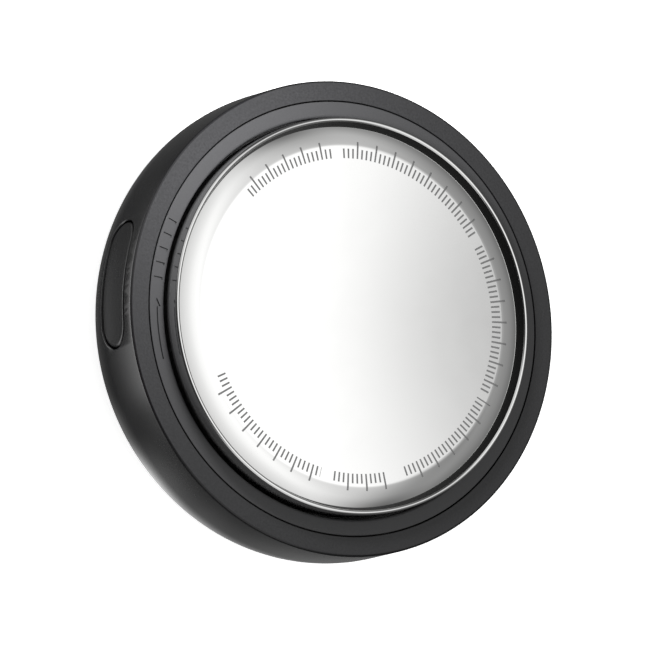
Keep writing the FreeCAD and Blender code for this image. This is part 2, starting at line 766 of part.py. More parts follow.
def side_button():
    """Pill-shaped key that follows the wall, dished a little, with a flange behind the wall."""
    centre = button_centre
    length, width = CELL["button_length"], CELL["button_width"]
    back = CELL["seat_radius"] - CELL["flange_gap"]
    stem = pill("key_bar", length, width, centre, -tag_radius - 1.0, as_size(-12.0))
    face_radius = tag_radius - KEY_RECESS
    low_face = face_radius - CELL["wall_curve"] + wall_reach(KEY_LOW.number)
    skin = turned(
        "key_skin",
        [
            (back - 0.2, KEY_LOW),
            (low_face, KEY_LOW, CELL["wall_curve"]),
            (face_radius, CELL["wall_curve"]),
            (face_radius, KEY_HIGH),
            (back - 0.2, KEY_HIGH),
        ],
    )
    key = common("key", stem, skin)
    border = CELL["flange_border"] * 2.0
    flange_bar = pill("flange_bar", length + border, width + border, centre, -tag_radius, as_size(-12.0))
    flange_ring = ring("flange_ring", flange_back, back, KEY_LOW, KEY_HIGH)
    flange = common("flange", flange_bar, flange_ring)
    node("side_button", fuse("button_solid", [key, flange]))


def wall_reach(height):
    """How far the shell's curve reaches past its centre at a height above the front face."""
    curve = CELL["wall_curve"].number
    return math.sqrt(curve * curve - (curve - height) ** 2)


def button_soft_parts():
    """Silicone pad behind the button's flange that presses the switch."""
    low = (PLUNGER_TIP - 0.05 - 0.45, as_size(-1.1), PLUNGER_HEIGHT - 0.5)
    high = (PLUNGER_TIP - 0.05, as_size(1.1), PLUNGER_HEIGHT + 0.5)
    block = box("pad_block", low, high)
    trim = cylinder("pad_trim", flange_back, ZERO, BIG)
    node("button_pad", common("pad_shape", block, trim))


# ---------------------------------------------------------------- sounder
def sounder():
    """Brass disc glued to the front wall, ceramic disc on it, two springs up to the board."""
    plate_top = CELL["front_wall"] + CELL["sounder_sheet"]
    node("sounder_plate", cylinder("brass_disc", CELL["sounder_radius"], CELL["front_wall"], plate_top))
    ceramic_top = plate_top + CELL["sounder_sheet"]
    node("sounder_ceramic", cylinder("ceramic_disc", CELL["ceramic_radius"], plate_top, ceramic_top))
    springs = [
        sounder_spring("inner", as_size(3.4), ceramic_top, 180.0),
        sounder_spring("outer", as_size(7.4), plate_top, 200.0),
    ]
    node("sounder_springs", group("springs", springs))


def sounder_spring(name, reach, foot, turn):
    """Z-bent strip between the board's underside and a sounder disc."""
    sheet_size = CELL["contact_sheet"]
    top = CELL["board_height"]
    corners = [
        (reach - 1.2, top - sheet_size),
        (reach + 0.2, top - sheet_size),
        (reach - 0.9, foot + sheet_size * 1.2),
        (reach - 0.6, foot),
        (reach + 0.6, foot),
        (reach + 0.6, foot + sheet_size),
        (reach - 0.5, foot + sheet_size),
        (reach - 0.7, foot + sheet_size * 1.6),
        (reach + 0.45, top - sheet_size * 0.6),
        (reach + 0.45, top),
        (reach - 1.2, top),
    ]
    return bent_strip(f"spring_{name}", corners, as_size(0.5), turn)


# ---------------------------------------------------------------- build, check, write
def check_document():
    doc.recompute()
    failed = [o.Name for o in doc.Objects if "Invalid" in o.State or "Error" in o.State]
    if failed:
        raise RuntimeError(f"objects failed to recompute: {failed}")
    for name, obj in NODES:
        shape = obj.Shape
        if shape.isNull() or not shape.isValid() or shape.Volume <= 0:
            raise RuntimeError(f"{name} has a bad shape")


def write_parts():
    os.makedirs("parts", exist_ok=True)
    for name, obj in NODES:
        obj.Shape.exportStep(os.path.join("parts", f"{name}.step"))
        bound = obj.Shape.BoundBox
        print(
            f"{name:18s} solids {len(obj.Shape.Solids)} volume {obj.Shape.Volume:9.3f}"
            f"  x {bound.XMin:7.2f}..{bound.XMax:6.2f} y {bound.YMin:7.2f}..{bound.YMax:6.2f}"
            f" z {bound.ZMin:6.2f}..{bound.ZMax:6.2f}"
        )


front_shell()
bay_frame()
battery_cover()
cover_lug_ring()
cover_trim()
coin_cell()
negative_contact()
positive_contacts()
circuit_board()
board_screws()
board_components()
side_switch()
side_button()
button_soft_parts()
sounder()
check_document()
write_parts()
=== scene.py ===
"""Round bluetooth tracker tag: its shells, steel cover and side key, every finish, and a small studio."""

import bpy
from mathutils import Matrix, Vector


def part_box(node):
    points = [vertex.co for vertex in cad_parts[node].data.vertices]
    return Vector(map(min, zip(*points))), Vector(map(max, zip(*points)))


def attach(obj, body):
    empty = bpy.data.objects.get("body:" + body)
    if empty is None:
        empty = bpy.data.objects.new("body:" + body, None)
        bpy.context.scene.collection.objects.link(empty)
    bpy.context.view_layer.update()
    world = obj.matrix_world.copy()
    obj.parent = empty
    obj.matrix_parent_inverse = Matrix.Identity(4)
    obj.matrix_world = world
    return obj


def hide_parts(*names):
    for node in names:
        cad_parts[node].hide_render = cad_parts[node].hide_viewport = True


bl_info = {
    "name": "Tracker Tag",
    "version": (1, 0, 0),
    "blender": (4, 5, 0),
    "location": "3D View > Sidebar > Tracker Tag",
    "description": "Builds the shells, cover, key, finishes and studio of a round tracker tag",
    "category": "Object",
}

import math

import bpy
from bpy.props import FloatProperty, FloatVectorProperty, IntProperty, PointerProperty
from mathutils import Matrix, Vector

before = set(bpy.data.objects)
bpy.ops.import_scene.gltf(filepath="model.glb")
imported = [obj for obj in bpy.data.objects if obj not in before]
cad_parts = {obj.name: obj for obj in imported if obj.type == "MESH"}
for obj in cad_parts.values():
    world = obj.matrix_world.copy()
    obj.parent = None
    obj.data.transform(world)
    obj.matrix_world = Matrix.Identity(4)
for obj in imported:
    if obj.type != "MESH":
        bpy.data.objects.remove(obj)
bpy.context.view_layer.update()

MM = 0.001
FULL_TURN = 2 * math.pi

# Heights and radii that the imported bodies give.
TAG_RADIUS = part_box("front_shell")[1].x
RING_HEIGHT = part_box("front_shell")[1].z
CREST_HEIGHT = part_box("battery_cover")[1].z
COVER_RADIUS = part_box("battery_cover")[1].x
COVER_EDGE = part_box("battery_cover")[0].z
FRAME_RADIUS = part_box("bay_frame")[1].x
FRAME_LOW, FRAME_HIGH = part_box("bay_frame")[0].z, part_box("bay_frame")[1].z
BUTTON_HEIGHT = (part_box("side_button")[0].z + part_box("side_button")[1].z) / 2
LUG_TURNS = (0.0, 120.0, 240.0)


# ---------------------------------------------------------------- sizes and colours
def length(name, description, millimetres):
    """A size property in millimetres."""
    return FloatProperty(
        name=name,
        description=description,
        default=millimetres * MM,
        unit="LENGTH",
        subtype="DISTANCE",
        precision=5,
    )


def linear(code):
    """An sRGB hex colour as linear red, green and blue."""
    parts = [int(code[i : i + 2], 16) / 255 for i in (1, 3, 5)]
    return tuple(p / 12.92 if p <= 0.04045 else ((p + 0.055) / 1.055) ** 2.4 for p in parts)


def paint(name, description, code):
    """A colour property from an sRGB hex code."""
    return FloatVectorProperty(
        name=name, description=description, default=linear(code), size=3, min=0.0, max=1.0, subtype="COLOR"
    )


class TagShellSizes(bpy.types.PropertyGroup):
    wall_curve: length("Wall curve", "Radius from the side wall into the front face", 5.7)
    rim_round: length("Rim round", "Edge between side wall and rear rim", 0.2)
    seam_radius: length("Seam radius", "Bore of the open end", 14.67)
    seat_radius: length("Seat radius", "Bore below the frame's shoulder", 14.35)
    seat_height: length("Seat height", "Shoulder that carries the frame", 6.6)
    front_wall: length("Front wall", "Thickness of the front face", 1.1)
    inner_curve: length("Inner curve", "Radius inside the cup", 4.2)
    opening_length: length("Opening length", "Key opening along the wall", 8.7)
    opening_width: length("Opening width", "Key opening across the wall", 3.2)
    opening_round: length("Opening round", "Soft edge of the key opening", 0.14)


class TagFrameSizes(bpy.types.PropertyGroup):
    bore_radius: length("Bore", "Opening of the rear ring", 13.5)
    lip_round: length("Lip round", "Soft inner edge of the rear ring", 0.2)
    shelf_height: length("Shelf height", "Shelf under the cover's edge", 8.3)
    shelf_radius: length("Shelf radius", "Depth of the bayonet groove", 12.9)
    ledge_radius: length("Ledge radius", "Inner face of the bayonet ledges", 12.3)
    groove_floor: length("Groove floor", "Floor of the bayonet groove", 6.95)
    groove_web: length("Groove web", "Plastic under the bayonet groove", 0.45)
    ledge_height: length("Ledge height", "Underside of the ledges", 7.7)
    skirt_radius: length("Skirt radius", "Inside of the outer foot", 13.9)
    foot_height: length("Foot height", "Underside of the outer foot", 6.75)
    well_radius: length("Well radius", "Bore of the cell well", 10.3)
    well_outer: length("Well outside", "Outside of the cell well", 11.0)
    well_floor: length("Well floor", "Floor of the cell well", 6.4)
    floor_under: length("Floor underside", "Underside of the well's floor", 5.6)
    mark_depth: length("Mark depth", "Depth of the arrow and bars", 0.1)


class TagCoverSizes(bpy.types.PropertyGroup):
    sheet: length("Sheet", "Thickness of the steel", 0.3)
    face_radius: length("Face radius", "Flat middle of the cover", 11.46)
    face_drop: length("Face drop", "Flat middle below the crest", 0.1)
    crease_radius: length("Crease radius", "Foot of the raised rim", 12.92)
    crease_drop: length("Crease drop", "Foot of the raised rim below the crest", 0.45)
    crest_round: length("Crest round", "Rounding of the raised rim", 0.16)
    band_curve: length("Band curve", "Curve of the sloping band", 5.0)


class TagKeySizes(bpy.types.PropertyGroup):
    key_length: length("Key length", "Key along the wall", 8.5)
    key_width: length("Key width", "Key across the wall", 3.0)
    key_round: length("Key round", "Soft edge of the key", 0.16)
    key_dish: length("Key dish", "Hollow of the key's face", 0.06)
    key_recess: length("Key recess", "Key's edge below the wall", 0.05)
    flange_border: length("Flange border", "Flange beyond the key all round", 0.35)
    flange_front: length("Flange front", "Radius of the flange's outer face", 14.3)
    flange_back: length("Flange back", "Radius of the flange's inner face", 14.08)


class TagColours(bpy.types.PropertyGroup):
    shell: paint("Shell", "Moulded shell and key", "#161617")
    rim: paint("Rim", "Spark-eroded rim", "#1F1F20")
    ring: paint("Ring", "Satin rear ring", "#29292A")
    steel: paint("Steel", "Polished cover", "#EDEDEC")
    etching: paint("Etching", "Laser-etched ticks", "#A4A4A4")
    # Colour of the raised rim's inner slope: a painted dark reflection.
    painted_dark_reflection: paint("Oxide", "Unbuffed foot of the raised rim", "#050505")
    floor: paint("Floor", "Studio floor", "#F4F4F3")


class TagDetail(bpy.types.PropertyGroup):
    turns: IntProperty(name="Steps round", description="Faces round each turned piece", default=256, min=32)
    fine: IntProperty(name="Arc steps", description="Faces along each small round", default=8, min=2)


# ---------------------------------------------------------------- outlines
def rounded(corners, fine):
    """Points of an outline whose corners (across, up, radius) become arcs. A short straight piece beside
    each arc keeps the flat next to it flat when it is shaded."""
    points = []
    for index, (across, up, radius) in enumerate(corners):
        here = Vector((across, up))
        if radius == 0.0:
            points.append(here)
            continue
        before = (Vector(corners[index - 1][:2]) - here).normalized()
        after = (Vector(corners[(index + 1) % len(corners)][:2]) - here).normalized()
        half = before.angle(after) / 2
        reach = radius / math.tan(half)
        middle = here + (before + after).normalized() * (radius / math.sin(half))
        first, last = here + before * reach - middle, here + after * reach - middle
        sweep = first.angle_signed(last)
        ease = min(0.15 * radius, 0.03 * MM)
        points.append(here + before * (reach + ease))
        for step in range(fine + 1):
            turn = Matrix.Rotation(-sweep * step / fine, 2)
            points.append(middle + turn @ first)
        points.append(here + after * (reach + ease))
    return points


def bulge(start, end, radius, steps):
    """Points between two points on an arc that stands out to the left of the way from start to end."""
    chord = end - start
    side = Vector((-chord.y, chord.x)).normalized()
    middle = (start + end) / 2 - side * math.sqrt(radius**2 - (chord.length / 2) ** 2)
    sweep = (start - middle).angle_signed(end - middle)
    return [middle + Matrix.Rotation(-sweep * s / steps, 2) @ (start - middle) for s in range(1, steps)]


# ---------------------------------------------------------------- modelling helpers
def deselect():
    """Leaves edit mode and selects nothing."""
    if bpy.context.object and bpy.context.object.mode != "OBJECT":
        bpy.ops.object.mode_set(mode="OBJECT")
    bpy.ops.object.select_all(action="DESELECT")


def only(piece):
    """Makes one piece the selected and active one."""
    deselect()
    piece.select_set(True)
    bpy.context.view_layer.objects.active = piece
    return piece


def close_mesh():
    """In edit mode: joins what meets and turns every face outwards."""
    bpy.ops.mesh.select_all(action="SELECT")
    bpy.ops.mesh.remove_doubles(threshold=0.0005 * MM)
    bpy.ops.mesh.normals_make_consistent(inside=False)
    bpy.ops.object.mode_set(mode="OBJECT")


def lathe(name, points, steps, closed=False):
    """Extrudes a point along an outline in the XZ plane and spins it once round Z."""
    deselect()
    bpy.ops.mesh.primitive_plane_add(size=MM)
    piece = bpy.context.object
    piece.name = piece.data.name = name
    bpy.ops.object.mode_set(mode="EDIT")
    bpy.ops.mesh.merge(type="CENTER")
    places = [Vector((p.x, 0.0, p.y)) for p in points]
    if closed:
        places.append(places[0])
    bpy.ops.transform.translate(value=places[0])
    for start, end in zip(places, places[1:]):
        bpy.ops.mesh.extrude_region_move(TRANSFORM_OT_translate={"value": end - start})
    bpy.ops.mesh.select_all(action="SELECT")
    bpy.ops.mesh.spin(steps=steps, angle=FULL_TURN, center=(0, 0, 0), axis=(0, 0, 1))
    close_mesh()
    return piece


def sector_tool(inner, outer, low, high, start, sweep):
    """A block bent round Z, from a start angle over a sweep in degrees."""
    deselect()
    bpy.ops.mesh.primitive_plane_add(size=1.0, rotation=(math.pi / 2, 0, 0))
    tool = bpy.context.object
    tool.scale = (outer - inner, high - low, 1.0)
    tool.location = ((inner + outer) / 2, 0.0, (low + high) / 2)
    bpy.ops.object.transform_apply()
    bpy.ops.object.mode_set(mode="EDIT")
    bpy.ops.mesh.select_all(action="SELECT")
    steps = max(2, round(sweep / 1.5))
    bpy.ops.mesh.spin(steps=steps, angle=-math.radians(sweep), center=(0, 0, 0), axis=(0, 0, 1))
    close_mesh()
    tool.data.transform(Matrix.Rotation(math.radians(start), 4, "Z"))
    return tool


def block_tool(low, high, turn=0.0):
    """A box between two corners, turned about Z."""
    deselect()
    bpy.ops.mesh.primitive_cube_add(size=1.0)
    tool = bpy.context.object
    tool.scale = [b - a for a, b in zip(low, high)]
    tool.location = [(a + b) / 2 for a, b in zip(low, high)]
    bpy.ops.object.transform_apply()
    tool.data.transform(Matrix.Rotation(math.radians(turn), 4, "Z"))
    return tool


def rod_tool(radius, low, high, across=0.0, along=0.0):
    """An upright rod between two heights."""
    deselect()
    bpy.ops.mesh.primitive_cylinder_add(
        vertices=48, radius=radius, depth=high - low, location=(across, along, (low + high) / 2)
    )
    bpy.ops.object.transform_apply()
    return bpy.context.object


def shape_with(piece, tools, operation):
    """Cuts tools from a piece, or joins them to it, and removes the tools."""
    only(tools[0])
    for tool in tools:
        tool.select_set(True)
    if len(tools) > 1:
        bpy.ops.object.join()
    tool = bpy.context.object
    only(piece)
    change = piece.modifiers.new("shape", "BOOLEAN")
    change.operation = operation
    change.object = tool
    change.use_self = len(tools) > 1
    bpy.ops.object.modifier_apply(modifier=change.name)
    bpy.data.objects.remove(tool)
    return piece


def smooth(piece, degrees=35.0):
    """Shades a piece smooth, apart from edges sharper than an angle."""
    only(piece)
    bpy.ops.object.shade_smooth_by_angle(angle=math.radians(degrees))
    return piece


def wear(piece, *finishes):
    """Gives a piece its finishes, one material slot each."""
    piece.data.materials.clear()
    for made in finishes:
        piece.data.materials.append(made)
    return piece


def stand_for(piece, node, body):
    """The piece is shown in place of a CAD node, on its body."""
    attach(piece, body)
    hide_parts(node)


# ---------------------------------------------------------------- finishes
def add_node(tree, kind, links=None, values=None, **settings):
    """Adds a shader node with its settings, its own values and the sockets that feed it."""
    node = tree.nodes.new(kind)
    for name, value in settings.items():
        setattr(node, name, value)
    for name, value in (values or {}).items():
        node.inputs[name].default_value = value
    for name, socket in (links or {}).items():
        tree.links.new(socket, node.inputs[name])
    return node


def start_finish(name):
    """An empty material with object coordinates, a principled surface and an output."""
    made = bpy.data.materials.new(name)
    made.use_nodes = True
    tree = made.node_tree
    tree.nodes.clear()
    place = add_node(tree, "ShaderNodeTexCoord").outputs["Object"]
    surface = add_node(tree, "ShaderNodeBsdfPrincipled")
    add_node(tree, "ShaderNodeOutputMaterial", {"Surface": surface.outputs["BSDF"]})
    return made, tree, place, surface


def set_stops(ramp, stops, interpolation="LINEAR"):
    """Gives a colour ramp its stops in order, as (position, colour). A colour may be one grey value."""
    ramp.color_ramp.interpolation = interpolation
    elements = ramp.color_ramp.elements
    shades = [(*shade, 1.0) if isinstance(shade, tuple) else (shade, shade, shade, 1.0) for _, shade in stops]
    elements[0].position, elements[1].position = stops[0][0], stops[-1][0]
    elements[0].color, elements[1].color = shades[0], shades[-1]
    for (position, _), shade in zip(stops[1:-1], shades[1:-1]):
        stop = elements.new(position)
        stop.color = shade


def scaled(rgb, factor):
    """A colour made darker or lighter."""
    return tuple(min(1.0, c * factor) for c in rgb)


# Width of the slow clouding of moulded gloss.
CLOUD = 6.0


def moulded(name, rgb, grain, relief, roughness, spread=0.06, speckle=0.12, sheen=0.0):
    """Moulded or die-cut plastic and rubber: a grain of one size in millimetres, which lifts the surface
    by its relief, breaks up the gloss and speckles the colour, over slow clouding of the gloss."""
    made, tree, place, surface = start_finish(name)
    fine = add_node(tree, "ShaderNodeTexNoise", {"Vector": place}, {"Scale": 1 / (grain * MM), "Detail": 3.0})
    slow = add_node(tree, "ShaderNodeTexNoise", {"Vector": place}, {"Scale": 1 / (CLOUD * MM), "Detail": 2.0})
    both = add_node(tree, "ShaderNodeMath", {0: fine.outputs["Fac"], 1: slow.outputs["Fac"]}, operation="ADD")
    gloss = add_node(
        tree,
        "ShaderNodeMapRange",
        {"Value": both.outputs["Value"]},
        {"From Min": 0.6, "From Max": 1.4, "To Min": roughness - spread, "To Max": roughness + spread},
    )
    colour = add_node(tree, "ShaderNodeValToRGB", {"Fac": fine.outputs["Fac"]})
    set_stops(colour, ((0.3, scaled(rgb, 1 - speckle)), (0.7, scaled(rgb, 1 + speckle))))
    bump = add_node(
        tree, "ShaderNodeBump", {"Height": fine.outputs["Fac"]}, {"Strength": 1.0, "Distance": relief * MM}
    )
    tree.links.new(colour.outputs["Color"], surface.inputs["Base Color"])
    tree.links.new(gloss.outputs["Result"], surface.inputs["Roughness"])
    tree.links.new(bump.outputs["Normal"], surface.inputs["Normal"])
    surface.inputs["IOR"].default_value = 1.5
    surface.inputs["Sheen Weight"].default_value = sheen
    return made


def plated(name, rgb, roughness, grain=0.15, relief=0.0008):
    """Rolled or plated sheet metal: fine streaks along X and a little unevenness in the gloss."""
    made, tree, place, surface = start_finish(name)
    stretch = add_node(tree, "ShaderNodeMapping", {"Vector": place}, {"Scale": (0.06, 1.0, 1.0)})
    streaks = add_node(
        tree,
        "ShaderNodeTexNoise",
        {"Vector": stretch.outputs["Vector"]},
        {"Scale": 1 / (grain * MM), "Detail": 4.0},
    )
    gloss = add_node(
        tree,
        "ShaderNodeMapRange",
        {"Value": streaks.outputs["Fac"]},
        {"From Min": 0.3, "From Max": 0.7, "To Min": roughness * 0.75, "To Max": roughness * 1.3},
    )
    bump = add_node(
        tree, "ShaderNodeBump", {"Height": streaks.outputs["Fac"]}, {"Strength": 0.6, "Distance": relief * MM}
    )
    colour = add_node(tree, "ShaderNodeValToRGB", {"Fac": streaks.outputs["Fac"]})
    set_stops(colour, ((0.3, scaled(rgb, 0.9)), (0.7, scaled(rgb, 1.05))))
    tree.links.new(colour.outputs["Color"], surface.inputs["Base Color"])
    tree.links.new(gloss.outputs["Result"], surface.inputs["Roughness"])
    tree.links.new(bump.outputs["Normal"], surface.inputs["Normal"])
    surface.inputs["Metallic"].default_value = 1.0
    return made


# Etched arcs on the cover: first and last angle in degrees from +X. Ticks: pitch in degrees, share of the
# pitch that is etched, and the radii where they start and where short and long ones end.
ETCHED_ARCS = ((38.4, 98.5), (103.8, 141.9), (208.6, 262.8), (266.9, 289.5), (296.1, 337.8), (341.0, 394.1))
TICK_PITCH = 1.8
TICK_SHARE = 0.36
TICK_INNER = 10.6
TICK_LONG = 11.75
TICK_SHORT = 11.25


def polar_place(tree, place):
    """Distance from the tag's axis, and the turn about it: 0 at -X, and 1 after a full turn anticlockwise."""
    split = add_node(tree, "ShaderNodeSeparateXYZ", {"Vector": place})
    flat = add_node(tree, "ShaderNodeCombineXYZ", {"X": split.outputs["X"], "Y": split.outputs["Y"]})
    radius = add_node(tree, "ShaderNodeVectorMath", {0: flat.outputs["Vector"]}, operation="LENGTH")
    angle = add_node(
        tree, "ShaderNodeMath", {0: split.outputs["Y"], 1: split.outputs["X"]}, operation="ARCTAN2"
    )
    turn = add_node(
        tree,
        "ShaderNodeMapRange",
        {"Value": angle.outputs["Value"]},
        {"From Min": -math.pi, "From Max": math.pi},
    )
    return radius.outputs["Value"], turn.outputs["Result"]


def etched_mask(tree, place):
    """1 on the etched ticks: radial strokes like a dial's graduations, every fourth one long."""
    radius, turn = polar_place(tree, place)
    count = add_node(tree, "ShaderNodeMath", {0: turn}, {1: 360.0 / TICK_PITCH}, operation="MULTIPLY")
    within = add_node(tree, "ShaderNodeMath", {0: count.outputs["Value"]}, operation="FRACT")
    stroke = add_node(
        tree, "ShaderNodeMath", {0: within.outputs["Value"]}, {1: TICK_SHARE}, operation="LESS_THAN"
    )
    number = add_node(tree, "ShaderNodeMath", {0: count.outputs["Value"]}, operation="FLOOR")
    fourth = add_node(tree, "ShaderNodeMath", {0: number.outputs["Value"]}, {1: 4.0}, operation="MODULO")
    is_long = add_node(tree, "ShaderNodeMath", {0: fourth.outputs["Value"]}, {1: 0.5}, operation="LESS_THAN")
    top = add_node(
        tree,
        "ShaderNodeMapRange",
        {"Value": is_long.outputs["Value"]},
        {"To Min": TICK_SHORT * MM, "To Max": TICK_LONG * MM},
    )
    above = add_node(tree, "ShaderNodeMath", {0: radius}, {1: TICK_INNER * MM}, operation="GREATER_THAN")
    below = add_node(tree, "ShaderNodeMath", {0: radius, 1: top.outputs["Result"]}, operation="LESS_THAN")
    arcs = add_node(tree, "ShaderNodeValToRGB", {"Fac": turn})
    ends = [(degrees, mark) for arc in ETCHED_ARCS for degrees, mark in zip(arc, (1.0, 0.0))]
    stops = sorted(((degrees + 180.0) / 360.0 % 1.0, mark) for degrees, mark in ends)
    set_stops(arcs, [(0.0, 1 - stops[0][1]), *stops], "CONSTANT")
    mask = stroke.outputs["Value"]
    for part in (above.outputs["Value"], below.outputs["Value"], arcs.outputs["Color"]):
        mask = add_node(tree, "ShaderNodeMath", {0: mask, 1: part}, operation="MULTIPLY").outputs["Value"]
    return mask


def mirror_steel(colours):
    """Stainless steel buffed to a mirror: a faint swirl left by the buffing, and laser-etched ticks that
    are grey and dull."""
    made, tree, place, surface = start_finish("mirror_polished_stainless_steel")
    swirl = add_node(tree, "ShaderNodeTexNoise", {"Vector": place}, {"Scale": 1 / (1.8 * MM), "Detail": 5.0})
    gloss = add_node(
        tree,
        "ShaderNodeMapRange",
        {"Value": swirl.outputs["Fac"]},
        {"From Min": 0.35, "From Max": 0.65, "To Min": 0.036, "To Max": 0.042},
    ).outputs["Result"]
    mask = etched_mask(tree, place)
    steel = add_node(
        tree,
        "ShaderNodeMix",
        {"Factor": mask},
        {"A": (*colours.steel, 1.0), "B": (*colours.etching, 1.0)},
        data_type="RGBA",
    )
    dull = add_node(
        tree, "ShaderNodeMapRange", {"Value": mask, "To Min": gloss}, {"To Max": 0.55}
    ).outputs["Result"]
    tree.links.new(steel.outputs["Result"], surface.inputs["Base Color"])
    tree.links.new(dull, surface.inputs["Roughness"])
    surface.inputs["Metallic"].default_value = 1.0
    return made


def painted_dark_reflection_steel(colours):
    """The inner slope of the raised rim, painted near-black and dull: a painted dark reflection that draws a
    black line inside the bright crest."""
    made = moulded("steel_slope_painted_dark_reflection", tuple(colours.painted_dark_reflection), 0.12, 0.002, 0.5, speckle=0.2)
    made.node_tree.nodes["Principled BSDF"].inputs["Specular IOR Level"].default_value = 0.15
    return made


def solder_mask():
    """Glass-epoxy board under blue-black solder mask: the copper tracks show as slightly raised, lighter
    lines on a 0.6 mm grid, and the weave as a faint ripple."""
    made, tree, place, surface = start_finish("solder_masked_glass_epoxy")
    tracks = add_node(
        tree,
        "ShaderNodeTexBrick",
        {"Vector": place},
        {
            "Color1": (*linear("#0E2233"), 1.0),
            "Color2": (*linear("#0B1B29"), 1.0),
            "Mortar": (*linear("#1D3C52"), 1.0),
            "Scale": 1 / MM,
            "Mortar Size": 0.06,
            "Brick Width": 2.4,
            "Row Height": 0.6,
        },
    )
    weave = add_node(tree, "ShaderNodeTexNoise", {"Vector": place}, {"Scale": 1 / (0.3 * MM), "Detail": 2.0})
    raised = add_node(
        tree,
        "ShaderNodeMath",
        {0: tracks.outputs["Fac"], 1: weave.outputs["Fac"]},
        {2: 0.2},
        operation="MULTIPLY_ADD",
    )
    bump = add_node(
        tree, "ShaderNodeBump", {"Height": raised.outputs["Value"]}, {"Strength": 0.6, "Distance": 0.02 * MM}
    )
    tree.links.new(tracks.outputs["Color"], surface.inputs["Base Color"])
    tree.links.new(bump.outputs["Normal"], surface.inputs["Normal"])
    surface.inputs["Roughness"].default_value = 0.32
    surface.inputs["Coat Weight"].default_value = 0.3
    return made


def inner_finishes():
    """The finish of every piece that only shows when the tag is opened."""
    # Nickel on drawn steel: bright and faintly warm, with fine rolling streaks.
    steel = plated("nickel_plated_steel", linear("#B9B8B4"), 0.24)
    # Thin gold over spring steel: pale yellow that glints along the bends.
    gold = plated("gold_flashed_spring_steel", linear("#D8B872"), 0.22, 0.1)
    # Zinc on turned screws: cool grey, duller than nickel.
    zinc = plated("zinc_plated_screw_steel", linear("#A9ADB0"), 0.3, 0.1)
    # Bare brass sheet: yellow, with broad soft streaks.
    brass = plated("rolled_brass_sheet", linear("#C9A04E"), 0.28, 0.2)
    # Plated can lid: pale warm grey that blurs what it mirrors.
    lid = plated("plated_crystal_lid", linear("#C8C4BA"), 0.3, 0.12)
    # Acetal: black with a waxy gloss.
    lug = moulded("moulded_acetal", linear("#202022"), 0.25, 0.004, 0.42)
    # Silicone: deep black, soft and nearly matte.
    silicone = moulded("black_silicone", linear("#1A1A1A"), 0.2, 0.006, 0.62)
    # Foam: open-looking pits and a dusty edge.
    foam = moulded("closed_cell_foam", linear("#242424"), 0.35, 0.08, 0.9, speckle=0.45, sheen=0.3)
    # Adhesive film: flat black with a damp shine.
    tape = moulded("die_cut_adhesive", linear("#28282A"), 0.3, 0.004, 0.3)
    # Polypropylene: milky grey and slightly greasy.
    grommet = moulded("polypropylene_grommet", linear("#C9CCC8"), 0.3, 0.003, 0.38)
    # Pressed powder: sooty, with coarse grains.
    cathode = moulded("pressed_manganese_dioxide", linear("#1C1B1A"), 0.12, 0.02, 0.85, speckle=0.5)
    # Epoxy package: charcoal with a fine even grain.
    epoxy = moulded("moulded_epoxy_package", linear("#1E1E20"), 0.1, 0.006, 0.55, speckle=0.2)
    # Ferrite: dark grey and stony.
    ferrite = moulded("sintered_ferrite", linear("#4A4A4D"), 0.12, 0.01, 0.6, speckle=0.3)
    # Antenna ceramic: off-white and smooth.
    ceramic = moulded("antenna_ceramic", linear("#DAD8D0"), 0.12, 0.003, 0.4)
    # Capacitor ceramic: tan and smooth.
    tan = moulded("capacitor_ceramic", linear("#A9835A"), 0.12, 0.003, 0.42, speckle=0.15)
    # Nylon: black with a silky mould grain, and natural white on the plunger.
    switch = moulded("switch_nylon", linear("#222222"), 0.15, 0.004, 0.5)
    plunger = moulded("plunger_nylon", linear("#C4C2BC"), 0.15, 0.004, 0.45)
    # Fired silver on the sounder's disc: pale, matte and a little warm.
    piezo = moulded("silvered_piezo_ceramic", linear("#B8B4A8"), 0.12, 0.004, 0.38)
    return {
        "cover_lug_ring": lug,
        "cover_pad": foam,
        "cover_seal": silicone,
        "case_seal": tape,
        "cell_can": steel,
        "cell_cap": steel,
        "cell_gasket": grommet,
        "cell_core": cathode,
        "negative_contact": gold,
        "positive_contacts": gold,
        "sounder_springs": gold,
        "circuit_board": solder_mask(),
        "board_screws": zinc,
        "radio_chip": epoxy,
        "motion_sensor": epoxy,
        "sounder_driver": epoxy,
        "radio_crystal": lid,
        "sleep_crystal": lid,
        "chip_antenna": ceramic,
        "capacitors": tan,
        "coils": ferrite,
        "switch_body": switch,
        "switch_plunger": plunger,
        "button_pad": silicone,
        "sounder_plate": brass,
        "sounder_ceramic": piezo,
    }


def shell_plastic(colours):
    """ABS and polycarbonate blend from a satin mould: near-black with wide soft highlights."""
    return moulded("satin_moulded_abs_pc", tuple(colours.shell), 0.09, 0.0012, 0.25, 0.03, 0.08)


def eroded_plastic(colours):
    """The same blend where the mould was spark-eroded: duller, with a grain that shows as fine speckle."""
    return moulded("spark_eroded_abs_pc", tuple(colours.rim), 0.14, 0.012, 0.56, 0.06, 0.22)


def ring_plastic(colours):
    """The frame's blend from a blasted mould: a little lighter and smoother than the rim."""
    return moulded("blasted_satin_abs_pc", tuple(colours.ring), 0.08, 0.0016, 0.44, 0.03, 0.06)


# ---------------------------------------------------------------- the shell's wall
def wall_radius(height, curve):
    """Radius of the shell's outside at a height above the front face."""
    if height >= curve:
        return TAG_RADIUS
    return TAG_RADIUS - curve + math.sqrt(curve**2 - (curve - height) ** 2)


def pill_ring(straight, radius, arc_steps, side_steps):
    """Points (along, up) round a flat-sided pill, from the top of one end round."""
    points = []
    for side in (1, -1):
        for step in range(arc_steps):
            turn = side * math.pi / 2 - math.pi * step / arc_steps
            points.append((side * straight + radius * math.cos(turn), radius * math.sin(turn)))
        for step in range(side_steps):
            points.append((side * straight * (1 - 2 * step / side_steps), -side * radius))
    return points


